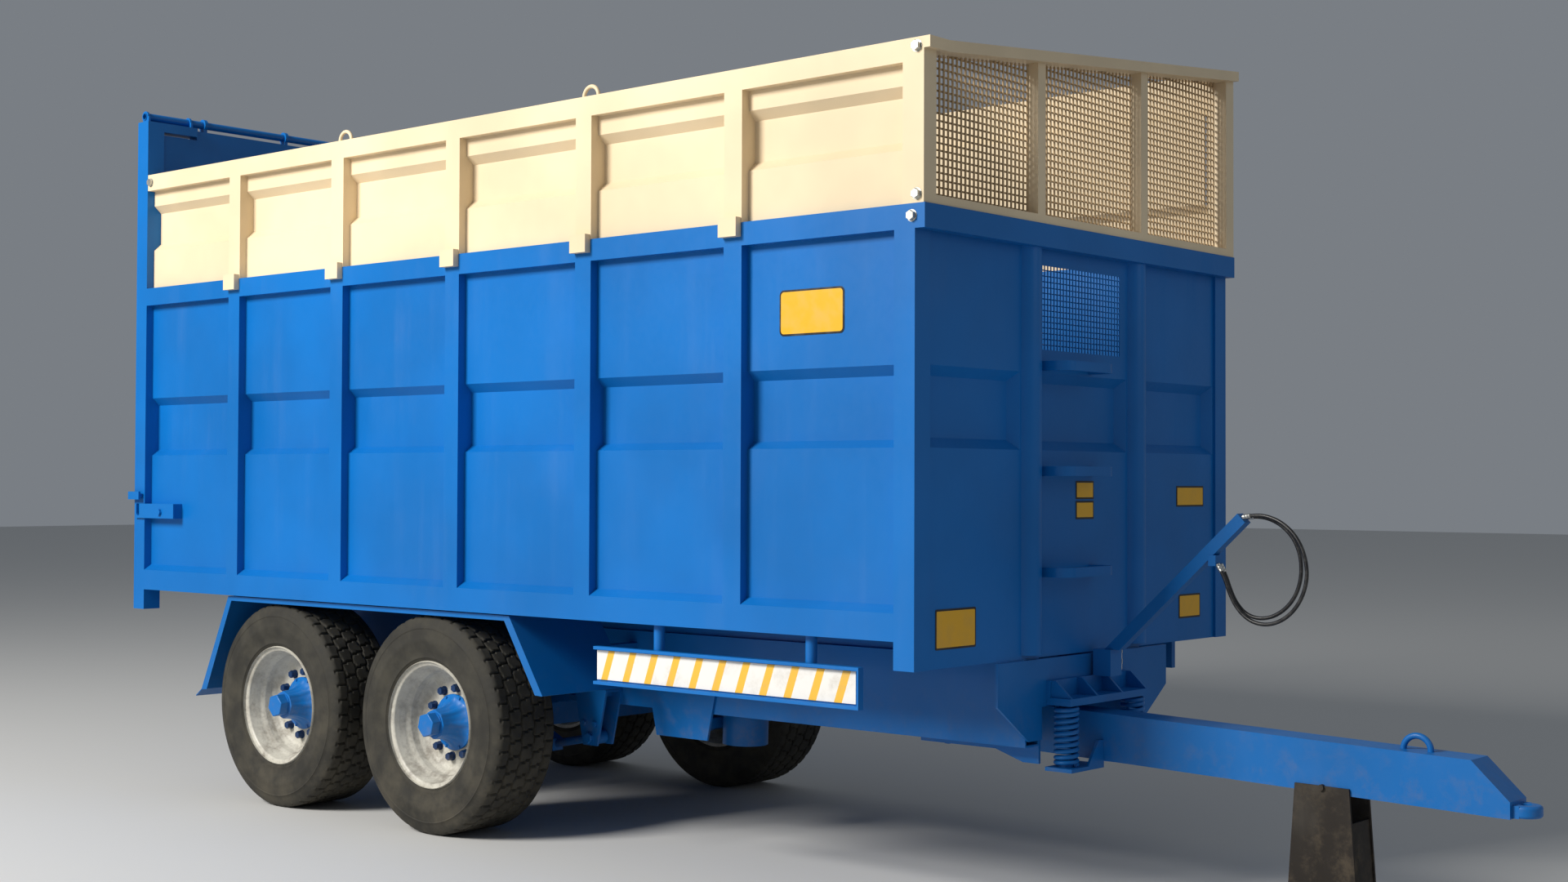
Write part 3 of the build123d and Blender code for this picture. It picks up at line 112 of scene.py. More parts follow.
# %% A socket that can be added and multiplied
class Field:
    """A number that varies over the surface, kept as the socket that carries it."""

    def __init__(self, finish, socket):
        self.finish = finish
        self.socket = socket

    def _with(self, operation, first, second=0.0):
        return self.finish.node("ShaderNodeMath", {"operation": operation}, {0: first, 1: second})

    def __add__(self, other):
        return self._with("ADD", self, other)

    def __radd__(self, other):
        return self._with("ADD", other, self)

    def __sub__(self, other):
        return self._with("SUBTRACT", self, other)

    def __rsub__(self, other):
        return self._with("SUBTRACT", other, self)

    def __mul__(self, other):
        return self._with("MULTIPLY", self, other)

    def __rmul__(self, other):
        return self._with("MULTIPLY", other, self)

    def __truediv__(self, other):
        return self._with("DIVIDE", self, other)

    def above(self, edge):
        """1 where the number is over the edge, and 0 elsewhere."""
        return self._with("GREATER_THAN", self, edge)

    def wrap(self, span):
        """The rest after the largest whole number of spans is taken off."""
        return self._with("FLOORED_MODULO", self, span)

    def ease(self, low, high):
        """0 at low and 1 at high, with a soft start and end, and clamped outside."""
        return self.finish.node("ShaderNodeMapRange", {"interpolation_type": "SMOOTHSTEP"},
                                {0: self, 1: low, 2: high, 3: 0.0, 4: 1.0})


class Finish:
    """One material and the nodes behind it."""

    def __init__(self, name):
        self.material = bpy.data.materials.new(name)
        self.material.use_nodes = True
        self.tree = self.material.node_tree
        self.shader = self.tree.nodes["Principled BSDF"]
        self.place = self.node("ShaderNodeTexCoord", out="Object")

    def node(self, kind, settings=None, inputs=None, out=0):
        """Add a node: its settings first, then the values or links of its sockets."""
        made = self.tree.nodes.new(kind)
        for key, value in (settings or {}).items():
            setattr(made, key, value)
        for key, value in (inputs or {}).items():
            self.feed(made.inputs[key], value)
        return Field(self, made.outputs[out])

    def feed(self, socket, value):
        """Link a field to a socket, or set the socket to a plain value."""
        if isinstance(value, Field):
            self.tree.links.new(value.socket, socket)
        else:
            socket.default_value = value

    def stretched(self, along):
        """Object coordinates multiplied axis by axis, to draw a pattern out in one direction."""
        return self.node("ShaderNodeVectorMath", {"operation": "MULTIPLY"}, {0: self.place, 1: along})

    def noise(self, scale, detail=3.0, along=(1, 1, 1), rough=0.55):
        """Cloudy noise between about 0.3 and 0.7."""
        return self.node("ShaderNodeTexNoise", None, {"Vector": self.stretched(along), "Scale": scale,
                                                      "Detail": detail, "Roughness": rough})

    def axis(self, index):
        """One Object coordinate: 0 is X, 1 is Y and 2 is Z."""
        return self.node("ShaderNodeSeparateXYZ", None, {0: self.place}, out=index)

    def mix(self, share, first, second):
        """A colour that is the first one where share is 0, and the second where it is 1."""
        return self.node("ShaderNodeMix", {"data_type": "RGBA"}, {0: share, 6: first, 7: second}, out=2)

    def set(self, **values):
        """Set the shader's sockets by name, an underscore standing for a space."""
        for key, value in values.items():
            self.feed(self.shader.inputs[key.replace("_", " ")], value)
        return self

    def bump(self, height, strength, distance=0.002):
        """Raise the surface by a field, as seen by light only."""
        normal = self.node("ShaderNodeBump", None, {"Height": height, "Strength": strength,
                                                    "Distance": distance})
        return self.set(Normal=normal)


print("sockets wrapped")

# %% [markdown]
# ## Gloss paint
# Farm trailer paint is a thick sprayed gloss. Close to, it has a faint orange-peel ripple. Further off, its tone
# drifts a few percent, rain has drawn pale runs of dust down the walls, and mud has splashed the lowest half metre.
# Each of those is one noise at its own scale, and height in the frame decides where the mud is.


# %% Paint
def rgba(*rgb):
    """A colour with full alpha."""
    return (*rgb, 1.0)


MUD = rgba(0.22, 0.17, 0.11)
DUST = rgba(0.50, 0.47, 0.40)


def paint(name, colour, rough=0.40, mud=0.40, dust=0.02, coat=0.06):
    """Gloss paint: tone drift, rain runs, dust, low mud and orange peel."""
    f = Finish(name)
    drift = f.noise(0.9, 4).ease(0.3, 0.7)
    darker = rgba(*[c * 0.80 for c in colour[:3]])
    base = f.mix(drift, darker, colour)
    runs = f.noise(7.0, 5, along=(1, 1, 0.09)).ease(0.48, 0.75)
    cloud = f.noise(2.3, 6).ease(0.40, 0.78)
    soiled = f.mix(runs * cloud * dust + cloud * (dust * 0.35), base, DUST)
    low = 1.0 - f.axis(2).ease(0.15, 0.95)
    splash = f.noise(11.0, 8, rough=0.72).ease(0.46, 0.70)
    mask = low * splash * mud
    f.set(Base_Color=f.mix(mask, soiled, MUD))
    f.set(Roughness=mask * 0.4 + runs * 0.10 + f.noise(38.0, 2) * 0.12 + (rough - 0.06))
    f.set(Coat_Weight=coat, Coat_Roughness=0.12, Specular_IOR_Level=0.30)
    peel = f.noise(260.0, 2) * 0.3 + f.noise(34.0, 3) * 0.35 + mask
    return f.bump(peel, 0.10, 0.0015).material


BLUE = rgba(0.0008, 0.150, 0.50)
CREAM = rgba(0.86, 0.70, 0.47)
blue_paint = paint("blue_paint", BLUE)
frame_paint = paint("frame_paint", rgba(0.0012, 0.140, 0.46), rough=0.42, mud=0.35, dust=0.03)
cream_paint = paint("cream_paint", CREAM, rough=0.48, mud=0.0, dust=0.03)
stand_paint = paint("stand_paint", rgba(0.020, 0.015, 0.011), rough=0.6, mud=0.25, dust=0.08, coat=0.0)
nut_paint = paint("nut_paint", rgba(0.002, 0.030, 0.11), rough=0.40, mud=0.2)
print("paints:", blue_paint.name, frame_paint.name, cream_paint.name, stand_paint.name)

# %% [markdown]
# ## Rubber, wheel enamel and bare metals
# Rubber is nearly black but never quite: dust lies on it in patches, and it is browner near the ground. The wheels are
# off-white, with brake dust stains heavier low down. Zinc bolts are pale and dull, and the ram's stages are polished.


# %% Rubber and metals
def wheel_enamel():
    """Off-white enamel with brown stains that gather in cloudy patches."""
    f = Finish("wheel_enamel")
    stain = f.noise(9.0, 8, rough=0.7).ease(0.40, 0.68)
    fine = f.noise(70.0, 5).ease(0.45, 0.75)
    clean = f.mix(fine * 0.35, rgba(0.56, 0.54, 0.47), rgba(0.30, 0.28, 0.24))
    low = 1.0 - f.axis(2).ease(0.18, 0.80)
    f.set(Base_Color=f.mix(stain * (0.35 + low * 0.4), clean, rgba(0.13, 0.105, 0.08)))
    f.set(Roughness=0.42 + stain * 0.25)
    return f.bump(stain * 0.5 + fine * 0.4, 0.12, 0.001).material


def tyre_rubber():
    """Worn black rubber, dusty in patches and browner near the ground."""
    f = Finish("tyre_rubber")
    dusty = f.noise(6.0, 7, rough=0.65).ease(0.35, 0.72)
    low = 1.0 - f.axis(2).ease(0.05, 0.9)
    base = f.mix(dusty * 0.75 + 0.1, rgba(0.018, 0.017, 0.014), rgba(0.058, 0.054, 0.042))
    f.set(Base_Color=f.mix(low * dusty * 0.25, base, rgba(0.12, 0.10, 0.07)))
    f.set(Roughness=0.72 + dusty * 0.2, Specular_IOR_Level=0.35)
    return f.bump(f.noise(180.0, 4) * 0.6 + dusty * 0.3, 0.22, 0.001).material


def metal(name, colour, rough, metallic=1.0, patch=0.3):
    """Bare or plated metal with a blotchy tarnish and fine scratches."""
    f = Finish(name)
    blotch = f.noise(24.0, 6).ease(0.38, 0.70)
    worn = rgba(*[c * 0.55 for c in colour[:3]])
    f.set(Base_Color=f.mix(blotch * patch, colour, worn), Metallic=metallic)
    f.set(Roughness=blotch * 0.25 + rough)
    return f.bump(f.noise(300.0, 2, along=(1, 1, 0.1)), 0.08, 0.0006).material


def hose_rubber():
    """Smooth black hose cover with a faint cloth-wrap ripple."""
    f = Finish("hose_rubber")
    haze = f.noise(45.0, 4).ease(0.4, 0.7)
    f.set(Base_Color=f.mix(haze, rgba(0.009, 0.009, 0.010), rgba(0.030, 0.029, 0.028)))
    f.set(Roughness=haze * 0.15 + 0.36)
    return f.bump(f.noise(420.0, 2), 0.15, 0.0006).material


def striped_board():
    """White board with slanted amber stripes: position along it plus a share of height, wrapped at the pitch."""
    f = Finish("striped_board")
    pitch = 0.132
    place = (f.axis(0) - f.axis(2) * 0.36 - 0.071).wrap(pitch)
    edge = f.noise(60.0, 3) * 0.004
    stripe = 1.0 - (place + edge).above(pitch * 0.32)
    base = f.mix(stripe, rgba(0.82, 0.80, 0.76), rgba(0.85, 0.48, 0.05))
    grime = f.noise(8.0, 7, rough=0.7).ease(0.48, 0.80)
    f.set(Base_Color=f.mix(grime * 0.4, base, rgba(0.35, 0.30, 0.22)), Roughness=grime * 0.3 + 0.30)
    return f.bump(grime + f.noise(150.0, 2) * 0.2, 0.08, 0.0006).material


enamel, rubber, hose_cover, board_face = wheel_enamel(), tyre_rubber(), hose_rubber(), striped_board()
zinc = metal("zinc", rgba(0.62, 0.62, 0.58), 0.34, patch=0.45)
polished = metal("polished_stage", rgba(0.72, 0.73, 0.75), 0.12, patch=0.1)
print("other finishes:", enamel.name, rubber.name, hose_cover.name, zinc.name, polished.name)

# %% [markdown]
# ## Paint the frame's own members
# Every member that keeps its CAD shape takes a finish by name. Lists are shorter than a rule for each.

# %% Assign finishes
FINISHES = [
    (cream_paint, ["silage_sheets", "silage_frames", "silage_front_frame", "silage_front_mesh", "lifting_loops"]),
    (stand_paint, ["drawbar_stand"]),
    (frame_paint, ["chassis_rails", "chassis_cross_members", "headstock", "drawbar_hinge", "suspension_hangers",
                    "ram_cradle", "tip_hinge_ears", "mudguards", "rear_light_bar", "hose_arm", "drawbar_beam",
                    "axle_front", "axle_rear",
                    "leaf_springs_front", "leaf_springs_rear", "equalisers", "ram_barrel", "drawbar_springs",
                    "floor_frame", "tow_eye"]),
]
by_name = {node: finish for finish, nodes in FINISHES for node in nodes}
for node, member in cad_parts.items():
    default = blue_paint
    if node.startswith("ram_stage"):
        default = polished
    if node.startswith("tyre"):
        default = rubber
    if node.startswith("wheel"):
        default = enamel
    if node.startswith("hose_") and node != "hose_arm":
        default = hose_cover
    if node == "side_guard_boards":
        default = board_face
    member.data.materials.clear()
    member.data.materials.append(by_name.get(node, default))
print(len(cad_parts), "members painted")

# %% [markdown]
# ## Tools for making surfaces
# A new piece is a grid of points worked out with numpy: rows run along one parameter and columns along the other.
# One function joins a grid into faces, one joins several shapes into one mesh, and one turns the arrays into an
# object that rides on a body of the trailer.


# %% Grids, joins and pieces
def grid_faces(rows, columns, wrap_rows=False, wrap_columns=False):
    """Four corners of each cell of a grid: the point, its neighbour along, across, and the one opposite."""
    i = np.arange(rows if wrap_rows else rows - 1)[:, None]
    j = np.arange(columns if wrap_columns else columns - 1)[None, :]
    a, b = i * columns + j, i * columns + (j + 1) % columns
    c, d = (i + 1) % rows * columns + (j + 1) % columns, (i + 1) % rows * columns + j
    return np.stack([a, b, c, d], axis=-1).reshape(-1, 4)


def join(shapes):
    """Several (points, faces) pairs as one, each one's face numbers moved past the points before it."""
    points, faces, start = [], [], 0
    for shape_points, shape_faces in shapes:
        points.append(np.asarray(shape_points))
        faces += [[int(k) + start for k in face] for face in shape_faces]
        start += len(shape_points)
    return np.concatenate(points), faces


def piece(name, shape, body, material, replaces=(), smooth=32, bevel=0.0):
    """An object at the origin from arrays, its faces turned outwards, riding on a body."""
    points, faces = shape
    mesh = bpy.data.meshes.new(name)
    mesh.from_pydata(np.asarray(points).tolist(), [], [list(map(int, face)) for face in faces])
    work = bmesh.new()
    work.from_mesh(mesh)
    bmesh.ops.recalc_face_normals(work, faces=work.faces)
    work.to_mesh(mesh)
    work.free()
    mesh.polygons.foreach_set("use_smooth", np.ones(len(mesh.polygons), bool))
    mesh.set_sharp_from_angle(angle=math.radians(smooth))
    mesh.materials.append(material)
    made = bpy.data.objects.new(name, mesh)
    bpy.context.scene.collection.objects.link(made)
    if bevel:
        rounding = made.modifiers.new("edges", "BEVEL")
        rounding.width = bevel
        rounding.segments = 2
        rounding.limit_method = "ANGLE"
    if body:
        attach(made, body)
    if replaces:
        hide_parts(*replaces)
    print(name, "has", len(mesh.polygons), "faces")
    return made


def turned(profile, steps, centre, side=1.0, radius_change=None):
    """A closed profile of (radius, outward) turned about the wheel's axis, which runs along Y.

    The point at angle t is at (radius cos t, outward, radius sin t) from the centre."""
    profile = np.asarray(profile, float)
    t = np.linspace(0, 2 * np.pi, steps, endpoint=False)[:, None]
    radius = np.broadcast_to(profile[None, :, 0], (steps, len(profile)))
    out = np.broadcast_to(profile[None, :, 1], (steps, len(profile)))
    if radius_change is not None:
        radius = radius + radius_change(t, out, radius)
    points = np.stack([radius * np.cos(t), side * out, radius * np.sin(t)], -1).reshape(-1, 3)
    return points + np.asarray(centre), grid_faces(steps, len(profile), True, True)


def prism(outline, normal_from, normal_to):
    """A flat outline of 3-D points swept from one offset to the other, with both ends closed."""
    outline = np.asarray(outline, float)
    points = np.concatenate([outline + np.asarray(normal_from), outline + np.asarray(normal_to)])
    n = len(outline)
    i = np.arange(n)
    sides = np.stack([i, (i + 1) % n, (i + 1) % n + n, i + n], -1)
    return points, [*sides.tolist(), list(range(n))[::-1], list(range(n, 2 * n))]


def hexagon(centre, radius, axis, turned_by=0.0):
    """Six corners round a centre, in the plane across the given axis."""
    t = np.arange(6) * np.pi / 3 + turned_by
    flat = np.stack([radius * np.cos(t), radius * np.sin(t)], -1)
    points = np.insert(flat, axis, 0.0, axis=1)
    return points + np.asarray(centre)


def hex_bolt(centre, across, height, axis, sign):
    """A hexagon head on a round washer: rings of growing height, the last one chamfered inwards."""
    t = np.arange(24) * 2 * np.pi / 24
    corner = across / 2 / np.cos((t + np.pi / 6) % (np.pi / 3) - np.pi / 6)
    washer = np.full(24, across * 0.66)
    rings = [(washer, 0.0), (washer, height * 0.16), (corner, height * 0.16), (corner, height * 0.86),
             (corner * 0.90, height), (corner * 0.02, height)]
    points = []
    for radius, rise in rings:
        flat = np.stack([radius * np.cos(t), radius * np.sin(t)], -1)
        points.append(np.insert(flat, axis, sign * rise, axis=1))
    base = [list(range(24))]
    return np.concatenate(points) + np.asarray(centre), [*grid_faces(len(rings), 24, False, True).tolist(), *base]


print("surface tools ready")

# %% [markdown]
# ## The two hydraulic hoses
# Two 16 mm hoses leave the top of the arm, swing out in a loop about half a metre across, and come back to the guide
# under the arm. A hose holds its own curve, so each is one smooth spline through a few control points, and a ferrule
# grips it at each end. The outer hose is the longer one and hangs a little wider.

# %% Hoses
HOSE_Y = 65
HOSE_ROUTES = {
    "hose_outer": [(707, -14, 586), (762, -15, 596), (822, -17, 590), (880, -20, 568),
                   (932, -23, 528), (970, -26, 474), (991, -28, 412), (995, -28, 346),
                   (977, -27, 280), (941, -24, 222), (889, -20, 178), (829, -17, 155),
                   (768, -15, 156), (713, -14, 182), (671, -14, 228), (643, -14, 285),
                   (622, -14, 345), (592, -14, 392)],
    "hose_inner": [(707, 14, 586), (762, 14, 590), (820, 15, 578), (872, 17, 549),
                   (914, 19, 504), (939, 21, 448), (947, 22, 386), (940, 22, 323),
                   (916, 21, 264), (875, 19, 216), (822, 17, 184), (762, 15, 174),
                   (707, 14, 190), (664, 14, 232), (636, 14, 288), (616, 14, 346),
                   (592, 14, 390)],
}
HOSE_DIAMETER = 0.016


def ferrule(name, start, along, material):
    """A crimped sleeve: a turned profile with two grooves, its axis laid along the hose's end."""
    rise = np.array([0, 0, .002, .010, .012, .014, .022, .024, .026, .034, .036, .036])
    radius = np.array([0, .0085, .0105, .0105, .0095, .0105, .0105, .0095, .0105, .0105, .0085, 0])
    t = np.linspace(0, 2 * np.pi, 24, endpoint=False)[:, None]
    axis = Vector(along).normalized()
    across = axis.orthogonal().normalized()
    other = axis.cross(across)
    points = (np.asarray(start) + rise[None, :, None] * np.asarray(axis)
              + (radius * np.cos(t))[:, :, None] * np.asarray(across)
              + (radius * np.sin(t))[:, :, None] * np.asarray(other))
    shape = points.reshape(-1, 3), grid_faces(24, len(rise), True, False)
    return piece(name, shape, "chassis", material)


hoses = {}
for hose_name, route in HOSE_ROUTES.items():
    points = [Vector((fore(x), (HOSE_Y + y) / 1000, up(z))) for x, y, z in route]
    curve = bpy.data.curves.new(hose_name + "_line", "CURVE")
    curve.dimensions = "3D"
    curve.bevel_depth = HOSE_DIAMETER / 2
    curve.bevel_resolution = 5
    curve.resolution_u = 10
    curve.use_fill_caps = True
    spline = curve.splines.new("NURBS")
    spline.points.add(len(points) - 1)
    for control, point in zip(spline.points, points):
        control.co = (*point, 1)
    spline.order_u = 3
    spline.use_endpoint_u = True
    curve.materials.append(hose_cover)
    hose = bpy.data.objects.new(hose_name + "_line", curve)
    bpy.context.scene.collection.objects.link(hose)
    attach(hose, "chassis")
    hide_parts(hose_name)
    ends = [ferrule(f"{hose_name}_ferrule_{i}", points[0 if i == 0 else -1],
                    points[1] - points[0] if i == 0 else points[-2] - points[-1], zinc) for i in (0, 1)]
    hoses[hose_name] = hose
print("hoses:", sorted(hoses))

# %% [markdown]
# ## Tyres
# A wide trailer tyre has nearly flat sidewalls with raised rings, a square shoulder, and five ribs of tread
# cut into blocks. The whole tyre is one grid: the angle round the axle by a profile across the tread. The grooves are
# made by lowering the grid's radius inside them, so they are real hollows and not paint.

# %% Tyre
AXLE_Z = up(-447)
WHEEL_Y = 1.0075
AXLES = {"front": fore(-2940), "rear": fore(-4165)}
SIDES = {"right": -1.0, "left": 1.0}
HALF_TREAD = 0.1925
BLOCKS = 44
GROOVES = (-0.108, -0.037, 0.037, 0.108)


def tyre_profile():
    """Closed outline of the tyre's wall: outer side, tread, inner side, and back through the inside."""
    w, bead = HALF_TREAD, 0.286
    side = [(bead, w - .052), (bead + .010, w - .036), (bead + .022, w - .027), (bead + .034, w - .020),
            (bead + .036, w - .017), (bead + .041, w - .0165), (bead + .043, w - .017), (bead + .070, w - .009),
            (bead + .092, w - .003), (bead + .110, w - .0006), (bead + .112, w), (bead + .128, w),
            (bead + .130, w - .0006), (bead + .150, w - .0015), (bead + .172, w - .004), (bead + .174, w - .0025),
            (bead + .178, w - .0025), (bead + .180, w - .005), (bead + .198, w - .010), (bead + .214, w - .016),
            (bead + .228, w - .025), (bead + .2355, w - .034)]
    crown = np.linspace(w - .040, -(w - .040), 65)
    tread = [(0.5248 - 0.0035 * (y / w) ** 4, y) for y in crown]
    mirrored = [(r, -y) for r, y in side[::-1]]
    inner = [(bead + .015, -w + .060), (bead + .060, -w + .040), (bead + .130, -w + .030), (.470, -w + .040),
             (.492, -w + .070), (.492, w - .070), (.470, w - .040), (bead + .130, w - .030),
             (bead + .060, w - .040), (bead + .015, w - .060)]
    return side + tread + mirrored + inner


def tread_depth(t, out, radius):
    """How far each point sinks: full depth in the rings, and in slanted cuts that step sideways at every ring."""
    on_tread = (radius > 0.512) & (np.abs(out) < HALF_TREAD - 0.028)
    groove = np.zeros_like(out)
    for y in GROOVES:
        wander = 0.003 * np.sign(np.sin(t * BLOCKS + y * 40))
        groove = np.maximum(groove, np.clip(1.6 - np.abs(out - y + wander) / 0.0042, 0, 1))
    rib = np.searchsorted(np.asarray(GROOVES), out[0]).astype(float)
    turn = (t * BLOCKS / (2 * np.pi) + 0.5 * rib[None, :] + out * 1.6) % 1.0
    cut = np.where(turn < 0.13, 1.0, 0.0)
    shoulder = np.abs(out) > 0.140
    cut = np.where(shoulder, cut * 0.75, cut)
    sunk = -0.0125 * np.maximum(groove, cut * 0.9) * on_tread
    notch_zone = (radius > 0.470) & (radius < 0.512) & (np.abs(out) > HALF_TREAD - 0.020)
    notch = -0.0030 * notch_zone * ((t * BLOCKS * 2 / (2 * np.pi)) % 1.0 < 0.16)
    return sunk + notch


for end, axle_x in AXLES.items():
    for side, sign in SIDES.items():
        shape = turned(tyre_profile(), BLOCKS * 8, (axle_x, sign * WHEEL_Y, AXLE_Z), sign, tread_depth)
        piece(f"tread_{end}_{side}", shape, f"wheel_{end}_{side}", rubber, [f"tyre_{end}_{side}"], smooth=40)

# %% [markdown]
# ## Wheels and hubs
# The rim is a deep stepped dish pressed from plate, with its disc set well inboard. A turned profile with its real
# steps gives the light rings that catch the eye. The hub is a ribbed cone with a hexagon cap, held by ten nuts.

# %% Rim, drum, hub and nuts
def rim_profile():
    """Closed outline of the rim and disc: the outer face from flange to middle, then back along the hidden face."""
    w = HALF_TREAD
    front = [(.3015, w - .018), (.3030, w - .024), (.3015, w - .031), (.2930, w - .033), (.2830, w - .037),
             (.2800, w - .042), (.2790, w - .066), (.2745, w - .072), (.2735, w - .094), (.2655, w - .106),
             (.2560, w - .118), (.2540, w - .124), (.2535, w - .150), (.2500, w - .158), (.2405, w - .166),
             (.2360, w - .174), (.2290, w - .181), (.2160, w - .187), (.1900, w - .189), (.1420, w - .189),
             (.0900, w - .189)]
    back = [(r, y - .012) if r < .24 else (r + .004, y - .006) for r, y in front[::-1]]
    inner = [(.2545, -.006), (.2700, -.110), (.2800, -w + .060), (.3010, -w + .024), (.3010, -w + .018),
             (.2840, -w + .026), (.2745, -w + .058), (.2620, -.112), (.2475, -.004)]
    return front, back, inner


def hub_radius(t, out, radius):
    """Eight ribs on the cone: the radius grows where a steep cosine of eight times the angle peaks.

    The outward place plays no part here, and is taken only because every change of radius is called with it."""
    on_cone = np.clip((radius - 0.056) / 0.03, 0, 1) * np.clip((0.128 - radius) / 0.02, 0, 1)
    return 0.0075 * on_cone * np.clip(np.cos(8 * t) * 2.2 - 0.6, 0, 1)


HUB = [(.0, .006), (.134, .006), (.136, .009), (.136, .016), (.134, .019), (.122, .0205), (.112, .025),
       (.100, .034), (.090, .046), (.081, .062), (.0745, .082), (.0705, .104), (.0690, .128), (.0680, .136),
       (.0600, .1375), (.0595, .142), (.0, .142)]
DRUM = [(.205, -.030), (.205, -.275), (.212, -.277), (.212, -.286), (.196, -.286), (.194, -.060), (.095, -.054),
        (.095, -.030)]
CAP_OUT, CAP_END = 0.1375, 0.190
CAP_RADIUS = 0.060
DISC_FACE, FLANGE_FACE = 0.0035, 0.0185
NUTS, NUT_ACROSS = 10, 0.034
SCREWS, SCREW_CIRCLE, SCREW_ACROSS, SCREW_HEIGHT = 8, 0.127, 0.013, 0.008
TURN_STEPS = 96
NUT_CIRCLE = 0.1675


def rim_shape(centre, sign):
    """Rim and disc as one turned shell; the flat back half is a second closed ring."""
    front, back, inner = rim_profile()
    return join([turned(outline, TURN_STEPS, centre, sign) for outline in (front + back, inner)])


for end, axle_x in AXLES.items():
    for side, sign in SIDES.items():
        body, label = f"wheel_{end}_{side}", f"{end}_{side}"
        centre = np.array((axle_x, sign * WHEEL_Y, AXLE_Z))
        piece(f"rim_{label}", rim_shape(centre, sign), body, enamel, [body], smooth=38)
        cap_outline = hexagon(centre, CAP_RADIUS, 1, 0.26)
        cap = prism(cap_outline, (0, sign * CAP_OUT, 0), (0, sign * CAP_END, 0))
        piece(f"hub_{label}", turned(HUB, TURN_STEPS, centre, sign, hub_radius), body, blue_paint, smooth=45)
        piece(f"hub_cap_{label}", cap, body, blue_paint, bevel=0.004)
        piece(f"drum_{label}", turned(DRUM, 64, centre, sign), body, frame_paint, bevel=0.002)
        spots = np.arange(NUTS) * 2 * np.pi / NUTS + 0.2
        nuts = [hex_bolt(centre + (NUT_CIRCLE * math.cos(a), sign * DISC_FACE, NUT_CIRCLE * math.sin(a)),
                         NUT_ACROSS, NUT_ACROSS, 1, sign) for a in spots]
        spots = np.arange(SCREWS) * 2 * np.pi / SCREWS + 0.4
        flange = [hex_bolt(centre + (SCREW_CIRCLE * math.cos(a), sign * FLANGE_FACE, SCREW_CIRCLE * math.sin(a)),
                           SCREW_ACROSS, SCREW_HEIGHT, 1, sign) for a in spots]
        piece(f"nuts_{label}", join(nuts), body, nut_paint, smooth=25)
        piece(f"flange_screws_{label}", join(flange), body, blue_paint, smooth=25)

# %% [markdown]
# ## Welded wire mesh
# The front of the silage sides is closed by welded mesh on a 29 mm pitch, and the window below by a finer one. Each
# wire is a six-sided bar. The upright wires stand one wire's thickness in front of the level ones, as on real mesh.


# %% Mesh
def wire(start, end, radius):
    """A six-sided bar between two points, closed at both ends."""
    start, end = Vector(start), Vector(end)
    axis = (end - start).normalized()
    across = axis.orthogonal().normalized()
    other = axis.cross(across)
    t = np.arange(6) * np.pi / 3
    ring = radius * (np.cos(t)[:, None] * np.asarray(across) + np.sin(t)[:, None] * np.asarray(other))
    points = np.concatenate([ring + np.asarray(start), ring + np.asarray(end)])
    i = np.arange(6)
    sides = np.stack([i, (i + 1) % 6, (i + 1) % 6 + 6, i + 6], -1)
    return points, [*sides.tolist(), list(range(6))[::-1], list(range(6, 12))]


RAIL_DEPTH = 45
LOW_TOP, HIGH_TOP = 2427, 2671
FLAT_END, BODY_SIDE = -1090, 1220
RISE = (HIGH_TOP - LOW_TOP) / (BODY_SIDE - FLAT_END)


def mesh_top(y_mm):
    """Underside of the sloping top rail above this place."""
    return up(LOW_TOP + max(0.0, y_mm - FLAT_END) * RISE - RAIL_DEPTH) - 0.001


def front_mesh(pitch=0.029, radius=0.0045):
    """Uprights to the sloping rail, and level wires from where each meets that slope to the far side."""
    x_front, x_back, low, half = fore(-10), fore(-10) - 1.9 * radius, up(1828), 1.138
    wires = []
    for y in np.arange(-half, half + 1e-6, pitch):
        wires.append(wire((x_front, y, low), (x_front, y, mesh_top(y * 1000)), radius))
    for z in np.arange(low + pitch / 2, mesh_top(half * 1000), pitch):
        start = -half
        if z > mesh_top(-half * 1000):
            start = (FLAT_END + ((z + 0.001 - up(LOW_TOP - RAIL_DEPTH)) * 1000) / RISE) / 1000
        if start < half:
            wires.append(wire((x_back, start, z), (x_back, half, z), radius))
    return join(wires)


def window_mesh(pitch=0.024, radius=0.0028):
    """A plain lattice behind the window's edges."""
    low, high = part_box("window_mesh")
    x, step = (low.x + high.x) / 2, radius * 0.95
    wires = [wire((x + step, y, low.z), (x + step, y, high.z), radius)
             for y in np.arange(low.y + pitch / 2, high.y, pitch)]
    wires += [wire((x - step, low.y, z), (x - step, high.y, z), radius)
              for z in np.arange(low.z + pitch / 2, high.z, pitch)]
    return join(wires)


mesh_paint = paint("mesh_paint", rgba(0.60, 0.43, 0.24), rough=0.5, mud=0.0, dust=0.1, coat=0.0)
piece("front_wire", front_mesh(), "tub", mesh_paint, ["silage_front_mesh"], smooth=70)
piece("window_wire", window_mesh(), "tub", blue_paint, ["window_mesh"], smooth=70)
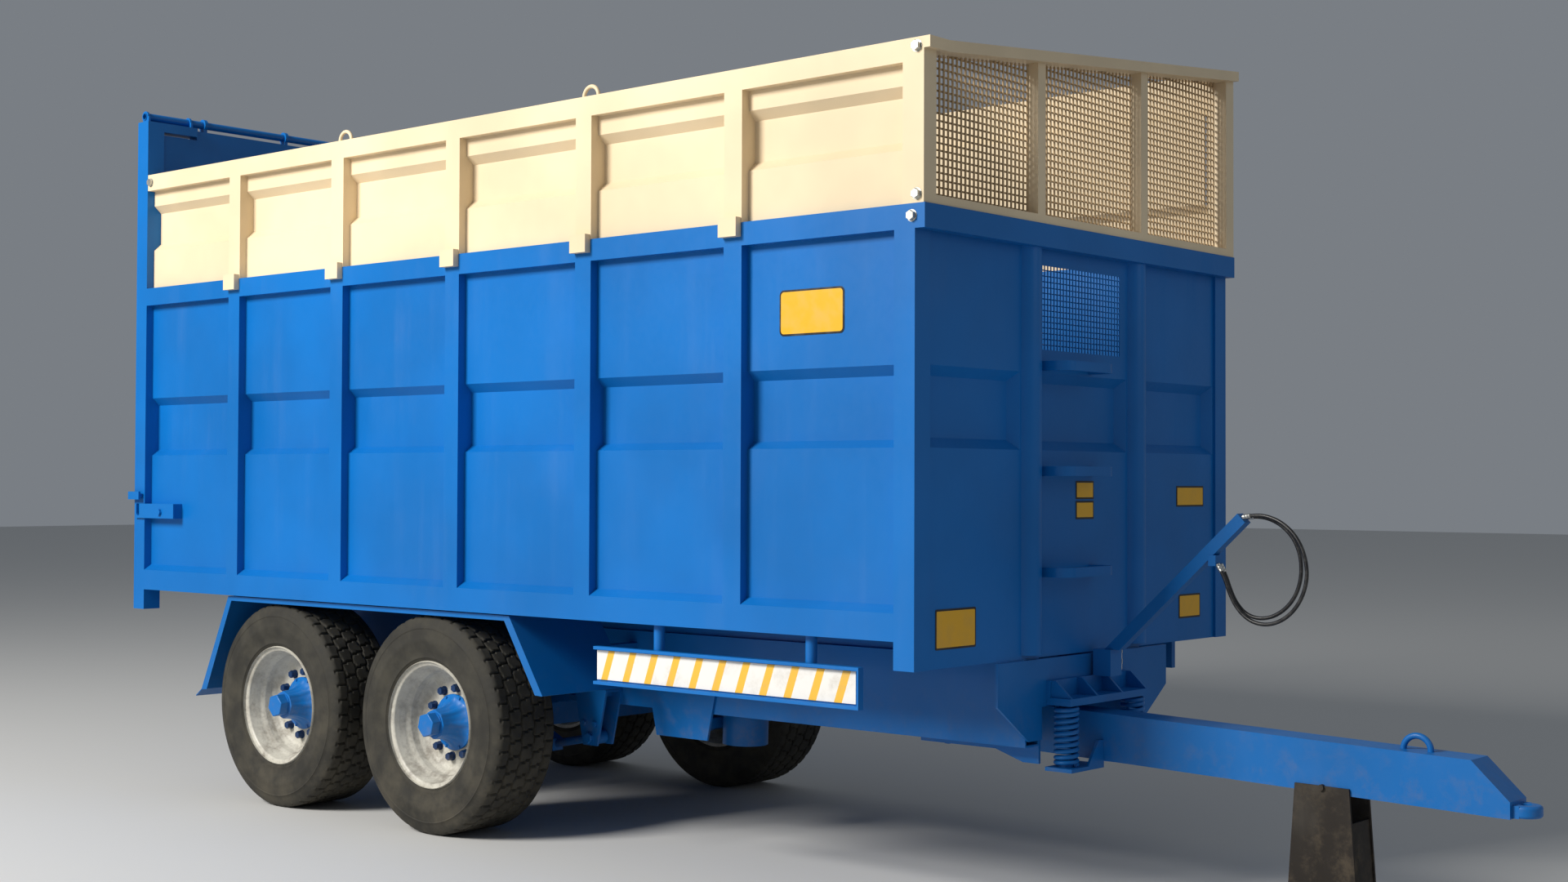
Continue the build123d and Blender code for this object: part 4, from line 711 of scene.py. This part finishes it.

# %% [markdown]
# ## Drawbar springs
# Two coil springs carry the front of the trailer on the drawbar. Each is a round bar carried along a helix: the centre
# line turns at a fixed radius while it climbs, slower over the first and last turn, where the ends are ground flat.


# %% Coil springs
def coil(centre, radius, wire_radius, low, high, turns, steps=40, sides=12):
    """A circle of the wire's radius carried along a helix, with flat end turns and closed ends."""
    u = np.linspace(0, 1, int(turns * steps) + 1)
    angle = 2 * np.pi * turns * u
    flat = 1 / turns
    climb = np.interp(u, [0, flat, 1 - flat, 1], [0.0, 0.055, 0.945, 1.0])
    z = low + wire_radius + climb * (high - low - 2 * wire_radius)
    line = np.stack([centre[0] + radius * np.cos(angle), centre[1] + radius * np.sin(angle), z], -1)
    outward = np.stack([np.cos(angle), np.sin(angle), np.zeros_like(angle)], -1)
    v = np.linspace(0, 2 * np.pi, sides, endpoint=False)
    points = (line[:, None, :] + wire_radius * np.cos(v)[None, :, None] * outward[:, None, :]
              + wire_radius * np.sin(v)[None, :, None] * np.array((0, 0, 1.0)))
    faces = grid_faces(len(u), sides, False, True).tolist()
    last = (len(u) - 1) * sides
    faces += [list(range(sides)), [last + k for k in range(sides)][::-1]]
    return points.reshape(-1, 3), faces


SPRING_LOW, SPRING_HIGH = up(-452), up(-198)
coils = join([coil((fore(66), sign * 0.262), 0.044, 0.0095, SPRING_LOW, SPRING_HIGH, 10.5) for sign in (-1, 1)])
springs = piece("coil_springs", coils, None, frame_paint, ["drawbar_springs"], smooth=60)
fore(66)
fore(66)
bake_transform(springs)

# %% [markdown]
# ## Small steel pieces
# Hexagon bolts hold the silage sides and the hanger pins, and a short chain hangs by the hose arm. They are small,
# but they tell the eye how big the trailer is.

# %% Bolts and chain
SILAGE_TOPS = {"right": LOW_TOP, "left": HIGH_TOP}
silage_bolts = []
for side, sign in SIDES.items():
    top = SILAGE_TOPS[side]
    for x, z in ((9, top - 34), (9, 1826), (-14, 1744), (-5350, top - 44)):
        silage_bolts.append(hex_bolt((fore(x), sign * 1.2195, up(z)), 0.036, 0.018, 1, sign))
piece("silage_bolts", join(silage_bolts), "tub", zinc, ["cover_bolts"], smooth=25)

HANGER_PINS = ((2470, -526), (4635, -526), (3552.5, -372))
HANGER_FACE_Y = 0.5615
pin_nuts = []
for back, height in HANGER_PINS:
    for sign in (-1, 1):
        pin_nuts.append(hex_bolt((fore(-back), sign * HANGER_FACE_Y, up(height)), 0.046, 0.020, 1, sign))
        for dx in (-36, 36):
            place = (fore(-back + dx), sign * HANGER_FACE_Y, up(height + 70))
            pin_nuts.append(hex_bolt(place, 0.024, 0.012, 1, sign))
piece("hanger_nuts", join(pin_nuts), "chassis", frame_paint, smooth=25)


def link(centre, along, turned_by, length=0.030, width=0.018, bar=0.0028):
    """One chain link: a bar carried round a stadium, drawn as a circle stretched to the link's length."""
    u = np.linspace(0, 2 * np.pi, 28, endpoint=False)[:, None]
    v = np.linspace(0, 2 * np.pi, 8, endpoint=False)[None, :]
    straight = (length - width) / 2
    rise = (width / 2 + bar * np.cos(v)) * np.sin(u) + straight * np.sign(np.sin(u))
    wide = (width / 2 + bar * np.cos(v)) * np.cos(u)
    deep = bar * np.sin(v) + 0 * u
    c, s = math.cos(turned_by), math.sin(turned_by)
    points = np.stack([wide * c - deep * s, wide * s + deep * c, rise], -1).reshape(-1, 3)
    return points + np.asarray(centre) + np.asarray(along), grid_faces(28, 8, True, True)


LINKS = 6
chain = [link((fore(60), 0.172, up(46 - 23 * n)), (0, 0, 0), 1.2 + n * math.pi / 2) for n in range(LINKS)]
piece("chain", join(chain), "chassis", zinc, smooth=60)

# %% [markdown]
# ## Plates and lamps
# The trailer carries small amber plates. Here they are blank: a dark border round a plain amber field. A plate is a
# rounded rectangle with a raised rim, so its edge is real. The lamps at the tail are ribbed lenses.

# %% Plate finishes
def plate_finish(name, colour, rough=0.35):
    """Printed plate: even colour with slight fading and dust."""
    f = Finish(name)
    faded = f.noise(14.0, 5).ease(0.4, 0.75)
    f.set(Base_Color=f.mix(faded * 0.35, colour, rgba(*[c * 0.7 + 0.08 for c in colour[:3]])))
    f.set(Roughness=faded * 0.2 + rough)
    return f.bump(f.noise(90.0, 3), 0.05, 0.0005).material


amber = plate_finish("plate_amber", rgba(0.78, 0.42, 0.015))
dark_edge = plate_finish("plate_border", rgba(0.010, 0.010, 0.012))
red_lens = plate_finish("lens_red", rgba(0.45, 0.008, 0.006), 0.12)
amber_lens = plate_finish("lens_amber", rgba(0.75, 0.20, 0.008), 0.12)
print("plate finishes ready")


# %% Plates
def rounded(centre, across, tall, corner, axis):
    """Corners of a rounded rectangle in the plane across X (axis 0) or Y (axis 1)."""
    t = np.linspace(0, 2 * np.pi, 32, endpoint=False) + np.pi / 32
    wide = (across / 2 - corner) * np.sign(np.cos(t)) + corner * np.cos(t)
    rise = (tall / 2 - corner) * np.sign(np.sin(t)) + corner * np.sin(t)
    zero = np.zeros_like(t)
    flat = np.stack([zero, wide, rise] if axis == 0 else [wide, zero, rise], -1)
    return flat + np.asarray(centre)


def sign_plate(name, centre, across, tall, axis, sign, body):
    """A dark backing plate with a smaller amber plate proud of it."""
    normal = np.eye(3)[axis] * sign
    corner = min(across, tall) * (0.12 if across > 0.3 else 0.05)
    back = prism(rounded(centre, across, tall, corner, axis), normal * 0.0, normal * 0.0015)
    face = prism(rounded(centre, across - .016, tall - .016, corner * .7, axis), normal * 0.0012, normal * 0.0024)
    piece(name + "_border", back, body, dark_edge)
    piece(name + "_face", face, body, amber)


SHEET_FACE_X = fore(-12)
sign_plate("maker_plate", (fore(-550), -1.1772, up(1407)), 0.34, 0.187, 1, -1, "tub")
FRONT_PLATES = {"low_right": (-0.935, 0.151, 0.27, 0.158), "middle_low": (0.0, 0.607, 0.142, 0.078),
                "middle_high": (0.0, 0.692, 0.142, 0.078), "high_left": (0.900, 0.662, 0.249, 0.095),
                "low_left": (0.895, 0.158, 0.196, 0.110)}
for plate_name, (y, z, across, tall) in FRONT_PLATES.items():
    sign_plate("front_plate_" + plate_name, (SHEET_FACE_X, y, up(0) + z), across, tall, 0, 1, "tub")

LAMP_X, LAMP_Y = fore(-5456), 0.475
LAMP_PARTS = {"stop": (-0.045, 0.150, red_lens), "turn": (0.078, 0.080, amber_lens)}
for side, sign in SIDES.items():
    for part, (offset, width, material) in LAMP_PARTS.items():
        u = np.linspace(0, 1, 31)
        ribs = 0.003 * np.abs(np.sin(np.pi * u * 8))
        y = sign * LAMP_Y + sign * (offset + (u - 0.5) * width)
        v = np.array([0, 0, 0.08, 0.92, 1, 1])
        push = np.array([0, 1, 1.35, 1.35, 1, 0])
        z = up(-380) + (v - 0.5) * 0.064
        points = np.stack([LAMP_X - 0.004 * push[None, :] - ribs[:, None] * (push[None, :] > 1),
                           np.broadcast_to(y[:, None], (31, 6)), np.broadcast_to(z[None, :], (31, 6))], -1)
        faces = grid_faces(31, 6, False, True).tolist() + [list(range(6)), [180 + k for k in range(6)][::-1]]
        piece(f"lamp_{part}_{side}", (points.reshape(-1, 3), faces), "chassis", material)

# %% [markdown]
# ## Floor and light
# A wide pale floor carries the shadow. One large warm light stands high on the right side, where the long wall faces,
# a soft fill keeps the shaded front readable, and a pale sky lights everything else evenly.

# %% Floor, lights and sky
floor_mesh = bpy.data.meshes.new("floor")
floor_mesh.from_pydata([(-60, -60, 0), (60, -60, 0), (60, 60, 0), (-60, 60, 0)], [], [(0, 1, 2, 3)])
floor = bpy.data.objects.new("floor", floor_mesh)
bpy.context.scene.collection.objects.link(floor)
floor_finish = Finish("floor_grey")
floor_finish.set(Base_Color=rgba(0.60, 0.60, 0.59), Roughness=0.85)
floor_mesh.materials.append(floor_finish.material)


def area_light(name, place, target, size, power, colour):
    """A square light at a place, turned to face the target."""
    data = bpy.data.lights.new(name, "AREA")
    data.size = size
    data.energy = power
    data.color = colour
    made = bpy.data.objects.new(name, data)
    made.location = place
    made.rotation_euler = (Vector(target) - Vector(place)).to_track_quat("-Z", "Y").to_euler()
    bpy.context.scene.collection.objects.link(made)


area_light("key", (-4.0, -13.0, 9.5), (-0.5, 0, 1.4), 5.0, 2900, (1.0, 0.97, 0.92))
area_light("fill", (12.0, 3.0, 6.0), (1.5, 0, 1.2), 6.0, 70, (0.92, 0.96, 1.0))
world = bpy.data.worlds.new("sky")
world.use_nodes = True
world.node_tree.nodes["Background"].inputs["Color"].default_value = (0.80, 0.87, 0.96, 1)
world.node_tree.nodes["Background"].inputs["Strength"].default_value = 0.24
bpy.context.scene.world = world
bpy.context.scene.view_settings.view_transform = "Standard"
print("floor, two lights and a pale sky")
